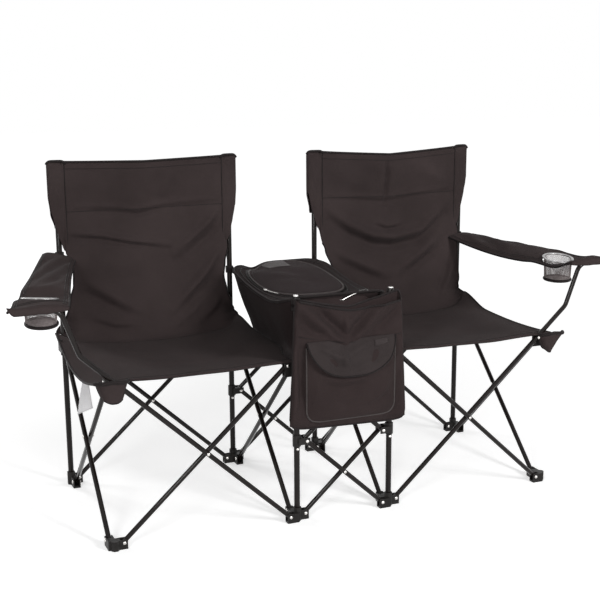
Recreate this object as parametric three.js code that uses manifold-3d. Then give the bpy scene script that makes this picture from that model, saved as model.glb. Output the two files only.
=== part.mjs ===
// A folding camping loveseat: two sling seats on one scissor frame, with a soft cooler and a
// hanging organiser between them. Millimetres, +Z up, +X to the sitter's left, front at -Y.
import * as THREE from 'three';
import { mergeVertices } from 'three/addons/utils/BufferGeometryUtils.js';
import Module from 'manifold-3d';

// Driving dimensions of the scissor frame
const SEAT_SPAN = 452; // pivot to pivot across one seat bay, with the chair open
const PIVOT_RISE = 418; // foot pivot up to the seat hub pivot
const FOOT_PIVOT_Z = 17; // foot pivot above the ground
const PIVOT_OUT_X = 24; // pivot out from its column, along X
const PIVOT_OUT_Y = 35; // pivot out from its column, along Y
const REAR_POST_TOP = 930;
const FRONT_POST_PAST = 5; // front post above the straps that hang from it
const POST_D = 16;
const BAR_D = 13;
const TUBE_WALL = 1.2;
const BAR_END = 7; // bar past its end pivot
const LAYER_GAP = 1; // between two bars that cross

// Clevises, collars and feet, moulded in plastic
const PIN_D = 4;
const PIN_HEAD_D = 9;
const PIN_HEAD_T = 1.6;
const PIN_CLEARANCE = 0.3; // all round a pin in its bore
const SLIDE_CLEARANCE = 0.35; // all round a post in a collar
const SEAT_GAP = 0.3; // between two faces that rest on each other
const CHEEK_T = 3;
const CHEEK_GAP = 0.8; // between a bar and each cheek
const CHEEK_PAST = 9; // cheek past its pin
const END_ROOM = 10.5; // pivot to the web, so a bar's end can swing
const LUG_DROP = 30; // clevis below its pin on a hub
const COLLAR_WALL = 3.1;
const HUB_COLLAR_TOP = 12; // hub collar's upper end below the pivots
const HUB_COLLAR_H = 33;
const MID_COLLAR_H = 32;
const FOOT_FLOOR = 5;
const FOOT_SOCKET_TOP = 38;
const CORNER_PLATE_T = 7;
const STOP_PIN_OUT = 4; // stop rivet out from its post

// Arm tubes
const ARM_BEND = 124; // corner pivot to the first bend
const ARM_RISE = 128; // first bend to the second
const ARM_LEAN = THREE.MathUtils.degToRad(20);
const ARM_HAND = 105; // second bend to the tip, under the front of the arm
const ARM_BEND_R = 34;

// Fabric
const CLOTH_T = 3;
const BACK_TOP = 935;
const SLEEVE_DROP = 190; // sleeve over the top of a rear post
const SLEEVE_WALL = 4;
const BACK_NARROWING = 27; // lower back's edge in from the post
const CREASE_OUT_Y = 85; // crease of seat and back, in front of the rear posts
const CREASE_Z = 442;
const CREASE_SAG = 14;
const SEAT_SAG = 24;
const SEAT_OVERHANG = 10; // seat edge past the column
const TOP_DIP = 8; // dip in the middle of the back's top edge
// Main folds of the two backs: how far a fold stands out, and its height as shares of the panel's
const LEFT_FOLD = { depth: 4, low: 0.78, rise: 0.03, width: 0.06 };
const RIGHT_FOLD = { depth: 11, low: 0.52, rise: 0.4, width: 0.09 };
const ARM_REAR_Z = 669;
const ARM_SPLAY = 150; // front of the arm, outwards from the rear post
const ARM_REAR_W = 92;
const ARM_FRONT_W = 138;
const ARM_T = 6;
const ARM_DROOP = 5;
const ARM_SETBACK = 16; // arm's rear edge in front of its post's axis
const HEM_R = 10.5;
const CUP_D = 86;
const CUP_H = 62;
const CUP_WALL = 1.6;
const CUP_RIM_W = 6;
const CUP_RIM_H = 4;
const CUP_SETBACK = 108; // cup centre behind the front hem

// Cooler and organiser
const COOLER_TOP = 597;
const COOLER_BOTTOM = 362;
const COOLER_TOP_HALF_W = 150;
const COOLER_BASE_HALF_W = 70;
const COOLER_POST_GAP = 17; // cooler's rim in from the front and rear posts
const COOLER_TAPER_Y = 68; // base in from the rim, front and rear
const COOLER_WALL = 3;
const COOLER_CORNER_R = 62;
const LID_CROWN = 22;
const LID_T = 4;
const STRAP_H = 18;
const STRAP_T = 3;
const ORGANISER_HALF_W = 160;
const ORGANISER_TOP = 615;
const ORGANISER_H = 352;
const ORGANISER_D = 19;
const ORGANISER_WALL = 2.2;
const ORGANISER_OUT = 21; // back of the organiser in front of the posts' axes
const ORGANISER_FRONT_DROP = 26; // front panel's hem below the back panel's
const ORGANISER_CORNER_R = 22;
const POCKET_HALF_W = 128;
const POCKET_LOW = 22; // pocket above the organiser's lower edge
const POCKET_H = 212;
const POCKET_D = 22;
const FLAP_H = 96;
const FLAP_T = 2.5;
const FLAP_RISE = 6; // flap's top above the pocket's mouth

// Facet counts
const TUBE_SIDES = 8;
const PIN_SIDES = 6;
const BORE_SIDES = 6; // inside of a bar
const RING_SIDES = 8;
const CUP_SIDES = 16;
const BEND_STEPS = 2;

// Places that follow from the dimensions above
const FRONT_POST_TOP = Math.max(ORGANISER_TOP, COOLER_TOP + STRAP_H) + FRONT_POST_PAST;
const SEAT_BAY = SEAT_SPAN + 2 * PIVOT_OUT_X;
const CENTRE_BAY = SEAT_SPAN / 2 + 2 * PIVOT_OUT_X;
const DEPTH = SEAT_SPAN + 2 * PIVOT_OUT_Y;
const FRONT_Y = -DEPTH / 2;
const REAR_Y = DEPTH / 2;
const INNER_X = CENTRE_BAY / 2;
const OUTER_X = INNER_X + SEAT_BAY;
const COLUMN_X = [-OUTER_X, -INNER_X, INNER_X, OUTER_X];
const COLUMN_NAME = ['left_outer', 'left_inner', 'right_inner', 'right_outer'];
const HUB_Z = FOOT_PIVOT_Z + PIVOT_RISE;
const MID_Z = FOOT_PIVOT_Z + PIVOT_RISE / 2;
const LAYER = (BAR_D + LAYER_GAP) / 2;
const POST_R = POST_D / 2;
const BAR_R = BAR_D / 2;
const PIN_R = PIN_D / 2;
const COLLAR_R = POST_R + SLIDE_CLEARANCE + COLLAR_WALL;
const CLEVIS_HALF = BAR_R + CHEEK_GAP;
const HUB_TOP = HUB_Z + CHEEK_PAST;

const X = new THREE.Vector3(1, 0, 0);
const Y = new THREE.Vector3(0, 1, 0);
const Z = new THREE.Vector3(0, 0, 1);
const point = (x, y, z) => new THREE.Vector3(x, y, z);
const lerp = THREE.MathUtils.lerp;

const wasm = await Module();
wasm.setup();

// Solids and joins

function solid(geometry) {
  const plain = geometry.clone();
  plain.deleteAttribute('normal');
  plain.deleteAttribute('uv');
  const merged = mergeVertices(plain, 1e-4);
  return new wasm.Manifold(new wasm.Mesh({
    numProp: 3,
    vertProperties: new Float32Array(merged.attributes.position.array),
    triVerts: new Uint32Array(merged.index.array),
  }));
}

function geometryOf(body) {
  const mesh = body.getMesh();
  const geometry = new THREE.BufferGeometry();
  geometry.setAttribute('position', new THREE.BufferAttribute(mesh.vertProperties, 3));
  geometry.setIndex(new THREE.BufferAttribute(mesh.triVerts, 1));
  geometry.computeVertexNormals();
  return geometry;
}

const joined = (bodies) => bodies.reduce((whole, body) => whole.add(body));
const cut = (body, tools) => tools.reduce((left, tool) => left.subtract(tool), body);

function block(from, to) {
  const low = from.clone().min(to);
  const size = from.clone().max(to).sub(low);
  const box = new THREE.BoxGeometry(size.x, size.y, size.z);
  const middle = low.addScaledVector(size, 0.5);
  return solid(box.translate(middle.x, middle.y, middle.z));
}

// A rod; toward is a unit vector square to it that points at one of its corners
function rod(from, to, radius, sides, toward) {
  const along = to.clone().sub(from);
  const cylinder = new THREE.CylinderGeometry(radius, radius, along.length(), sides);
  const up = along.clone().normalize();
  const turn = new THREE.Matrix4().makeBasis(up.clone().cross(toward), up, toward);
  const middle = from.clone().addScaledVector(along, 0.5);
  return solid(cylinder.applyMatrix4(turn).translate(middle.x, middle.y, middle.z));
}

// An upright round with a flat to the front, as on every tube
const FACET = Math.PI / RING_SIDES;
const CORNER = point(Math.sin(FACET), Math.cos(FACET), 0);
const upright = (base, low, high, radius) => rod(
  base.clone().setZ(low), base.clone().setZ(high), radius, RING_SIDES, CORNER);

// A bore's corners, so that its flats clear a round of the given radius
const boreCorner = (radius, sides) => radius / Math.cos(Math.PI / sides);

function meshSolid(positions, index) {
  const geometry = new THREE.BufferGeometry();
  geometry.setAttribute('position', new THREE.Float32BufferAttribute(positions, 3));
  geometry.setIndex(index);
  return solid(geometry);
}

// A round bar along a flat path; side is the unit vector square to the path's plane
function pipe(path, radius, side, sides) {
  const rings = path.map((at, i) => {
    const before = i > 0 ? at.clone().sub(path[i - 1]).normalize() : null;
    const after = i < path.length - 1 ? path[i + 1].clone().sub(at).normalize() : before;
    const along = (before ?? after).clone().add(after).normalize();
    const across = along.clone().cross(side).multiplyScalar(1 / along.dot(after));
    return Array.from({ length: sides }, (_, k) => {
      const angle = ((k + 0.5) * 2 * Math.PI) / sides;
      const spot = at.clone().addScaledVector(side, radius * Math.cos(angle));
      return spot.addScaledVector(across, radius * Math.sin(angle));
    });
  });
  return loft(rings);
}

// The same path, run on a little past both ends
function stretched(path) {
  const ends = [[0, 1], [path.length - 1, path.length - 2]].map(([end, next]) => (
    path[end].clone().addScaledVector(path[end].clone().sub(path[next]).normalize(), TUBE_WALL)));
  return [ends[0], ...path.slice(1, -1), ends[1]];
}

// A path with its corners rounded
function rounded(corners, radius) {
  const path = [corners[0]];
  for (let i = 1; i < corners.length - 1; i += 1) {
    const into = corners[i].clone().sub(corners[i - 1]).normalize();
    const out = corners[i + 1].clone().sub(corners[i]).normalize();
    const trim = radius * Math.tan(into.angleTo(out) / 2);
    const arc = new THREE.QuadraticBezierCurve3(
      corners[i].clone().addScaledVector(into, -trim),
      corners[i],
      corners[i].clone().addScaledVector(out, trim),
    );
    path.push(...arc.getPoints(BEND_STEPS));
  }
  path.push(corners[corners.length - 1]);
  return path;
}

// A cloth sheet over a grid: place(u, v) gives its middle surface
function sheet(place, across, along, thickness) {
  const positions = [];
  const index = [];
  const step = 1e-3;
  for (const face of [1, -1]) {
    for (let j = 0; j <= along; j += 1) {
      for (let i = 0; i <= across; i += 1) {
        const u = i / across;
        const v = j / along;
        const du = place(Math.min(u + step, 1), v).sub(place(Math.max(u - step, 0), v));
        const dv = place(u, Math.min(v + step, 1)).sub(place(u, Math.max(v - step, 0)));
        const out = du.cross(dv).normalize();
        positions.push(...place(u, v).addScaledVector(out, (face * thickness) / 2));
      }
    }
  }
  const row = across + 1;
  const under = row * (along + 1);
  const quad = (a, b, c, d) => index.push(a, b, c, a, c, d);
  for (let j = 0; j < along; j += 1) {
    for (let i = 0; i < across; i += 1) {
      const a = j * row + i;
      quad(a, a + 1, a + row + 1, a + row);
      quad(under + a, under + a + row, under + a + row + 1, under + a + 1);
    }
  }
  for (let i = 0; i < across; i += 1) {
    const far = along * row + i;
    quad(i, under + i, under + i + 1, i + 1);
    quad(far, far + 1, under + far + 1, under + far);
  }
  for (let j = 0; j < along; j += 1) {
    const left = j * row;
    const right = left + across;
    quad(left, left + row, under + left + row, under + left);
    quad(right, under + right, under + right + row, right + row);
  }
  return meshSolid(positions, index);
}

// A closed skin through rings of equal counts, closed by a fan at each end
function loft(rings) {
  const positions = rings.flat().flatMap((spot) => [...spot]);
  const count = rings[0].length;
  const index = [];
  for (let k = 0; k < count; k += 1) {
    const next = (k + 1) % count;
    for (let i = 0; i < rings.length - 1; i += 1) {
      const a = i * count;
      const b = a + count;
      index.push(a + k, a + next, b + next, a + k, b + next, b + k);
    }
    if (k > 0 && next > 0) {
      const last = (rings.length - 1) * count;
      index.push(0, next, k, last, last + k, last + next);
    }
  }
  return meshSolid(positions, index);
}

// The scissor frame

const column = (i, y) => point(COLUMN_X[i], y, 0);
const END = { front: FRONT_Y, rear: REAR_Y };

// Two cheeks, a web and a pin that hold a bar's end; layer is the bar's place along the pin
function clevis(base, away, axis, layer, reach, pivotZ, drop, half) {
  const spot = (u, v, w) => base.clone().addScaledVector(away, u)
    .addScaledVector(axis, layer + v).addScaledVector(Z, pivotZ + w);
  const wide = half + CHEEK_T;
  const far = reach + CHEEK_PAST;
  return joined([
    block(spot(0, -wide, -drop), spot(far, -half, CHEEK_PAST)),
    block(spot(0, half, -drop), spot(far, wide, CHEEK_PAST)),
    block(spot(0, -wide, -drop), spot(reach - END_ROOM, wide, CHEEK_PAST)),
    rod(spot(reach, CHEEK_T / 2 - wide, 0), spot(reach, wide - CHEEK_T / 2, 0), PIN_R, PIN_SIDES, Z),
  ]);
}

// What meets at column i: bars that fall to the right lie in the front layer
function lugsAt(i, side, upper) {
  const inward = side === 'front' ? Y : Y.clone().negate();
  const backBar = (side === 'front') !== upper;
  const lugs = [{ away: inward, axis: X, layer: backBar ? -LAYER : LAYER, reach: PIVOT_OUT_Y }];
  const leftLayer = upper ? LAYER : -LAYER;
  if (i > 0) {
    lugs.push({ away: X.clone().negate(), axis: Y, layer: leftLayer, reach: PIVOT_OUT_X });
  }
  if (i < COLUMN_X.length - 1) {
    lugs.push({ away: X, axis: Y, layer: -leftLayer, reach: PIVOT_OUT_X });
  }
  return lugs;
}

function hasPost(i, side) {
  return side === 'rear' || (i > 0 && i < COLUMN_X.length - 1);
}

function post(i, side) {
  const top = side === 'rear' ? REAR_POST_TOP : FRONT_POST_TOP;
  const base = column(i, END[side]);
  const low = FOOT_FLOOR + SEAT_GAP;
  const ring = (radius, z) => Array.from({ length: TUBE_SIDES }, (_, k) => {
    const angle = (-(k + 0.5) * 2 * Math.PI) / TUBE_SIDES;
    return point(base.x + radius * Math.cos(angle), base.y + radius * Math.sin(angle), z);
  });
  const inside = POST_R - TUBE_WALL;
  const bodies = [loft([
    ring(POST_R, top), ring(POST_R, low), ring(inside, low), ring(inside, top - POST_R)])];
  if (i > 0 && i < COLUMN_X.length - 1) {
    const stop = base.clone().setZ(MID_Z - MID_COLLAR_H / 2 - SEAT_GAP - PIN_R);
    const out = stop.clone().addScaledVector(Y, -POST_R - STOP_PIN_OUT);
    bodies.push(rod(stop.addScaledVector(Y, TUBE_WALL - POST_R), out, PIN_R, PIN_SIDES, Z));
  }
  return joined(bodies);
}

const postBore = (base, low, high) => upright(
  base, low, high, POST_R + SLIDE_CLEARANCE / Math.cos(FACET));

function foot(i, side) {
  const base = column(i, END[side]);
  const socketTop = hasPost(i, side) ? FOOT_SOCKET_TOP : FOOT_PIVOT_Z + CHEEK_PAST;
  const bodies = [upright(base, 0, socketTop, COLLAR_R)];
  for (const { away, axis, layer, reach } of lugsAt(i, side, false)) {
    const wide = CLEVIS_HALF + CHEEK_T;
    const edge = base.clone().addScaledVector(away, reach + CHEEK_PAST);
    bodies.push(clevis(base, away, axis, layer, reach, FOOT_PIVOT_Z, FOOT_PIVOT_Z, CLEVIS_HALF));
    bodies.push(block(
      base.clone().addScaledVector(axis, layer - wide),
      edge.addScaledVector(axis, layer + wide).setZ(FOOT_FLOOR),
    ));
  }
  const whole = joined(bodies);
  return hasPost(i, side) ? cut(whole, [postBore(base, FOOT_FLOOR, FOOT_SOCKET_TOP + 1)]) : whole;
}

function hub(i, side) {
  const base = column(i, END[side]);
  const top = HUB_Z - HUB_COLLAR_TOP;
  const bodies = [upright(base, top - HUB_COLLAR_H, top, COLLAR_R)];
  for (const { away, axis, layer, reach } of lugsAt(i, side, true)) {
    bodies.push(clevis(base, away, axis, layer, reach, HUB_Z, LUG_DROP, CLEVIS_HALF));
  }
  return cut(joined(bodies), [postBore(base, top - HUB_COLLAR_H - 1, HUB_TOP + 1)]);
}

// A front outer corner has no post: a plate behind the arm bar carries its pin and a clevis
function cornerHub(i) {
  const inward = i === 0 ? 1 : -1;
  const base = column(i, FRONT_Y);
  const barLayer = -inward * LAYER;
  const plateFrom = barLayer + BAR_R + CHEEK_GAP;
  const plateTo = plateFrom + CORNER_PLATE_T;
  const wide = CLEVIS_HALF + CHEEK_T;
  const pinX = base.x + inward * PIVOT_OUT_X;
  const tip = barLayer - BAR_R - CHEEK_GAP - PIN_HEAD_T;
  const pin = (from, to, radius) => rod(
    point(pinX, FRONT_Y + from, HUB_Z), point(pinX, FRONT_Y + to, HUB_Z), radius, PIN_SIDES, Z);
  const edges = [base.x + LAYER - wide, base.x + LAYER + wide, pinX + CHEEK_PAST, pinX - CHEEK_PAST];
  const whole = joined([
    clevis(base, Y, X, LAYER, PIVOT_OUT_Y, HUB_Z, LUG_DROP, CLEVIS_HALF),
    block(
      point(Math.min(...edges), FRONT_Y + plateFrom, HUB_Z - LUG_DROP),
      point(Math.max(...edges), FRONT_Y + plateTo, HUB_TOP),
    ),
  ]);
  const reachX = PIVOT_OUT_X + 2 * CHEEK_PAST + wide;
  const room = block(
    point(base.x - reachX, FRONT_Y - reachX, 0), point(base.x + reachX, FRONT_Y + plateFrom, HUB_TOP + 1));
  return joined([
    cut(whole, [room]), pin(tip, plateTo - CHEEK_T, PIN_R), pin(tip, tip + PIN_HEAD_T, PIN_HEAD_D / 2)]);
}

function midCollar(i, side) {
  const base = column(i, END[side]);
  const half = LAYER + BAR_R + CHEEK_GAP;
  const away = i === 1 ? X : X.clone().negate();
  const low = MID_Z - MID_COLLAR_H / 2;
  const high = MID_Z + MID_COLLAR_H / 2;
  const whole = joined([
    upright(base, low, high, COLLAR_R),
    clevis(base, away, Y, 0, PIVOT_OUT_X, MID_Z, CHEEK_PAST, half),
  ]);
  return cut(whole, [postBore(base, low - 1, high + 1)]);
}

// Where the bar from one column's foot or collar starts, and which way it goes
function pivotAt(i, toward, y, z, layer) {
  return point(COLUMN_X[i] + Math.sign(toward - i) * PIVOT_OUT_X, y + layer, z);
}

function armPath(lower, corner) {
  const up = corner.clone().sub(lower).normalize();
  const out = Math.sign(up.x);
  const bend = corner.clone().addScaledVector(up, ARM_BEND);
  const lean = point(out * Math.sin(ARM_LEAN), 0, Math.cos(ARM_LEAN));
  const hand = bend.clone().addScaledVector(lean, ARM_RISE);
  const tip = hand.clone().addScaledVector(X, out * ARM_HAND);
  return rounded([lower.clone().addScaledVector(up, -BAR_END), bend, hand, tip], ARM_BEND_R);
}

// A bar between two pivots; the bar in the front or left layer carries the crossing rivet
function bar(lower, upper, axis, carriesRivet, path) {
  const up = upper.clone().sub(lower).normalize();
  const straight = [
    lower.clone().addScaledVector(up, -BAR_END), upper.clone().addScaledVector(up, BAR_END)];
  const tube = cut(pipe(path ?? straight, BAR_R, axis, TUBE_SIDES), [
    pipe(stretched(path ?? straight), BAR_R - TUBE_WALL, axis, BORE_SIDES)]);
  const through = (at, from, to, radius) => rod(
    at.clone().addScaledVector(axis, from), at.clone().addScaledVector(axis, to), radius, PIN_SIDES, up);
  const hole = (at) => through(at, -BAR_D, BAR_D, boreCorner(PIN_R + PIN_CLEARANCE, PIN_SIDES));
  const crossing = lower.clone().lerp(upper, 0.5);
  if (!carriesRivet) {
    return cut(tube, [hole(lower), hole(upper), hole(crossing)]);
  }
  const farSide = 2 * LAYER + BAR_R + SEAT_GAP;
  return joined([
    cut(tube, [hole(lower), hole(upper)]),
    through(crossing, BAR_R - TUBE_WALL, farSide + PIN_HEAD_T, PIN_R),
    through(crossing, farSide, farSide + PIN_HEAD_T, PIN_HEAD_D / 2),
  ]);
}

// The fabric

const outward = (i) => (i === 0 ? -1 : 1);

function back(i, fold) {
  const left = COLUMN_X[i];
  const right = COLUMN_X[i + 1];
  const sleeveLow = BACK_TOP - SLEEVE_DROP;
  const crease = point(0, REAR_Y - CREASE_OUT_Y, CREASE_Z);
  const profile = new THREE.CubicBezierCurve3(
    crease, point(0, REAR_Y - CREASE_OUT_Y * 0.45, CREASE_Z + 25),
    point(0, REAR_Y - 8, lerp(CREASE_Z, sleeveLow, 0.45)), point(0, REAR_Y, sleeveLow));
  const lowPart = 0.6;
  const edge = POST_R + SLIDE_CLEARANCE + SLEEVE_WALL / 2;
  const panel = sheet((u, v) => {
    const across = Math.sin(Math.PI * u);
    const low = Math.min(v / lowPart, 1);
    const high = Math.max((v - lowPart) / (1 - lowPart), 0);
    const at = profile.getPoint(low);
    const inset = lerp(edge, BACK_NARROWING, 1 - low ** 3);
    const rise = high * (BACK_TOP - CLOTH_T / 2 - sleeveLow - TOP_DIP * across);
    const sag = CREASE_SAG * across * (1 - low) ** 2;
    const ridge = fold.low + fold.rise * Math.abs(2 * u - 1);
    const ruck = fold.depth * across * Math.exp(-(((v - ridge) / fold.width) ** 2));
    return point(lerp(left + inset, right - inset, u), at.y - ruck, at.z + rise - sag);
  }, 12, 15, CLOTH_T);
  const sleeve = (x) => cut(
    upright(point(x, REAR_Y, 0), sleeveLow, BACK_TOP, POST_R + SLIDE_CLEARANCE + SLEEVE_WALL),
    [postBore(point(x, REAR_Y, 0), sleeveLow - 1, REAR_POST_TOP + SEAT_GAP)],
  );
  const whole = joined([panel, sleeve(left), sleeve(right)]);
  return cut(whole, [left, right].map((x) => postBore(point(x, REAR_Y, 0), 0, REAR_POST_TOP + SEAT_GAP)));
}

function seat(i, armBarPath) {
  const left = COLUMN_X[i] - (i === 0 ? SEAT_OVERHANG : -SEAT_OVERHANG);
  const right = COLUMN_X[i + 1] - (i === 0 ? SEAT_OVERHANG : -SEAT_OVERHANG);
  const level = HUB_TOP + SEAT_GAP + CLOTH_T / 2;
  const front = FRONT_Y + 2;
  const rear = REAR_Y - CREASE_OUT_Y - CLOTH_T;
  // The outer strips lie flat on the hubs, and the dish begins inside them
  const rimX = SEAT_OVERHANG + PIVOT_OUT_X + CHEEK_PAST + CLOTH_T;
  const rimY = PIVOT_OUT_Y + CHEEK_PAST;
  const across = 10;
  const along = 8;
  const panel = sheet((u, v) => {
    const inU = THREE.MathUtils.clamp((u * across - 1) / (across - 2), 0, 1);
    const inV = Math.max((v * along - 1) / (along - 1), 0);
    const edgeU = Math.min(u * across, 1) - Math.min((1 - u) * across, 1);
    const x = lerp(left + rimX, right - rimX, inU) + edgeU * rimX;
    const y = front + Math.min(v * along, 1) * rimY + inV * (rear - front - rimY);
    const dish = SEAT_SAG * Math.sin(Math.PI * inU) * Math.sin(Math.PI * inV * 0.8) ** 0.7;
    return point(x, y, level - dish);
  }, across, along, CLOTH_T);
  const earEnd = REAR_Y - POST_R - 1;
  const beside = BACK_NARROWING - CLOTH_T;
  const ears = [[left, COLUMN_X[i] + beside], [COLUMN_X[i + 1] - beside, right]].map(([from, to]) => block(
    point(from, rear - CLOTH_T, level - CLOTH_T / 2), point(to, earEnd, level + CLOTH_T / 2)));
  const posts = [i, i + 1].flatMap((k) => Object.entries(END).filter(([side]) => hasPost(k, side))
    .map(([, y]) => postBore(column(k, y), 0, HUB_TOP * 2)));
  return cut(joined([panel, ...ears]), [pipe(armBarPath, BAR_R + CHEEK_GAP, Y, TUBE_SIDES), ...posts]);
}

// A loop round a post and a short strap to the piece that hangs from it
function strap(base, z, toward) {
  const ring = upright(base, z, z + STRAP_H, COLLAR_R);
  const along = toward.clone().sub(base).setZ(0);
  const band = new THREE.BoxGeometry(along.length(), STRAP_T, STRAP_H);
  band.rotateZ(Math.atan2(along.y, along.x));
  const middle = base.clone().addScaledVector(along, 0.5);
  return joined([ring, solid(band.translate(middle.x, middle.y, z + STRAP_H / 2))]);
}

function arm(i, armBarPath) {
  const out = outward(i);
  const tip = armBarPath[armBarPath.length - 1];
  const rear = point(COLUMN_X[i], REAR_Y, ARM_REAR_Z);
  const front = point(COLUMN_X[i] + out * ARM_SPLAY, tip.y, tip.z + HEM_R - ARM_T);
  const length = rear.y - front.y;
  const centre = (y) => rear.clone().lerp(front, (rear.y - y) / length);
  const plate = sheet((u, v) => {
    const y = lerp(rear.y - ARM_SETBACK, front.y, v);
    const half = lerp(ARM_REAR_W, ARM_FRONT_W, v) / 2;
    const side = 2 * u - 1;
    const at = centre(y);
    return point(at.x + side * half, y, at.z - ARM_DROOP * side * side);
  }, 6, 8, ARM_T);
  const half = ARM_FRONT_W / 2;
  const hemEnd = (x) => point(x, tip.y, tip.z);
  const hem = rod(hemEnd(front.x - half), hemEnd(front.x + half), HEM_R, RING_SIDES, Z);
  const cupAt = centre(front.y + CUP_SETBACK);
  const cupR = CUP_D / 2;
  const profile = [
    [0, -CUP_H], [cupR - CUP_RIM_H, -CUP_H], [cupR, 0], [cupR + CUP_RIM_W, 0],
    [cupR + CUP_RIM_W, CUP_RIM_H], [cupR - CUP_WALL, CUP_RIM_H],
    [cupR - CUP_RIM_H - CUP_WALL, CUP_WALL - CUP_H], [0, CUP_WALL - CUP_H],
  ].map(([r, h]) => new THREE.Vector2(r, h));
  const cup = new THREE.LatheGeometry(profile, CUP_SIDES).rotateX(Math.PI / 2);
  const mouth = rod(
    cupAt.clone().setZ(cupAt.z - CUP_H / 2), cupAt.clone().setZ(cupAt.z + CUP_H / 2),
    cupR - CUP_WALL, CUP_SIDES, Y);
  const loop = strap(rear.clone().setZ(0), ARM_REAR_Z - STRAP_H / 2, centre(rear.y - 2 * ARM_SETBACK));
  const pad = cut(joined([plate, hem, loop]), [
    mouth, pipe(stretched(armBarPath), BAR_R + SEAT_GAP, Y, TUBE_SIDES),
    postBore(rear, ARM_REAR_Z - CUP_H, ARM_REAR_Z + CUP_H)]);
  return joined([pad, solid(cup.translate(cupAt.x, cupAt.y, cupAt.z))]);
}

const COOLER_FRONT = FRONT_Y + POST_R + COOLER_POST_GAP;
const COOLER_REAR = REAR_Y - POST_R - COOLER_POST_GAP;

// A rounded rectangle of the cooler, from its base (0) to its rim (1), drawn in by a margin
function coolerRing(share, margin, z) {
  const half = lerp(COOLER_BASE_HALF_W, COOLER_TOP_HALF_W, share) - margin;
  const front = COOLER_FRONT + COOLER_TAPER_Y * (1 - share) + margin;
  const rear = COOLER_REAR - COOLER_TAPER_Y * (1 - share) - margin;
  const shape = new THREE.Shape();
  const r = Math.min(COOLER_CORNER_R, half * 0.8);
  shape.absarc(half - r, rear - r, r, 0, Math.PI / 2);
  shape.absarc(r - half, rear - r, r, Math.PI / 2, Math.PI);
  shape.absarc(r - half, front + r, r, Math.PI, 1.5 * Math.PI);
  shape.absarc(half - r, front + r, r, 1.5 * Math.PI, 2 * Math.PI);
  return shape.getPoints(2).map((p) => point(p.x, p.y, z));
}

function coolerBag() {
  const height = COOLER_TOP - COOLER_BOTTOM;
  const levels = [0, 0.4, 0.75, 1];
  const outer = levels.map((s) => coolerRing(s ** 0.8, 0, COOLER_BOTTOM + s * height));
  const floor = COOLER_WALL / height;
  const inner = [1, 0.75, 0.4, floor].map((s) => (
    coolerRing(s ** 0.8, COOLER_WALL, COOLER_BOTTOM + s * height)));
  const shell = loft([...outer, ...inner]);
  const corners = [1, 2].flatMap((i) => Object.values(END).map((y) => column(i, y)));
  const low = COOLER_TOP - STRAP_H - SEAT_GAP;
  const straps = corners.map((base) => {
    const rim = point(
      base.x - Math.sign(base.x) * (COOLER_CORNER_R - CLOTH_T),
      Math.sign(base.y) * (Math.abs(base.y) - POST_R - COOLER_POST_GAP - COOLER_CORNER_R / 2), 0);
    return strap(base, low, rim);
  });
  const room = loft(inner.slice().reverse().map((ring, k) => (
    k === inner.length - 1 ? ring.map((p) => p.clone().setZ(COOLER_TOP + 1)) : ring)));
  return cut(joined([shell, ...straps]), [
    room, ...corners.map((base) => postBore(base, COOLER_BOTTOM, COOLER_TOP * 2))]);
}

function coolerLid() {
  const edge = COOLER_TOP + SEAT_GAP;
  const shares = [0.25, 0.6, 0.88, 1];
  const ring = (s, lift) => coolerRing(1, 0, 0).map((p) => {
    const middle = (COOLER_FRONT + COOLER_REAR) / 2;
    return point(p.x * s, middle + (p.y - middle) * s, edge + lift + LID_CROWN * (1 - s * s));
  });
  const under = shares.map((s) => ring(s, 0));
  const over = shares.map((s) => ring(s, LID_T)).reverse();
  return loft([...under, ...over]);
}

const ORGANISER_REAR = FRONT_Y - ORGANISER_OUT;
const ORGANISER_FRONT = ORGANISER_REAR - ORGANISER_D;
const ORGANISER_LOW = ORGANISER_TOP - ORGANISER_H;
const POCKET_FRONT = ORGANISER_FRONT - POCKET_D;
const POCKET_TOP = ORGANISER_LOW + POCKET_LOW + POCKET_H;

// A pouch outline with rounded lower corners, thick from front to rear
function pouch(half, low, high, front, rear, radius) {
  const shape = new THREE.Shape();
  shape.moveTo(half, high);
  shape.lineTo(-half, high);
  shape.absarc(radius - half, low + radius, radius, Math.PI, 1.5 * Math.PI);
  shape.absarc(half - radius, low + radius, radius, 1.5 * Math.PI, 2 * Math.PI);
  const depth = rear - front;
  const slab = new THREE.ExtrudeGeometry(shape, { depth, bevelEnabled: false, curveSegments: 4 });
  return solid(slab.rotateX(Math.PI / 2).translate(0, rear, 0));
}

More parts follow.
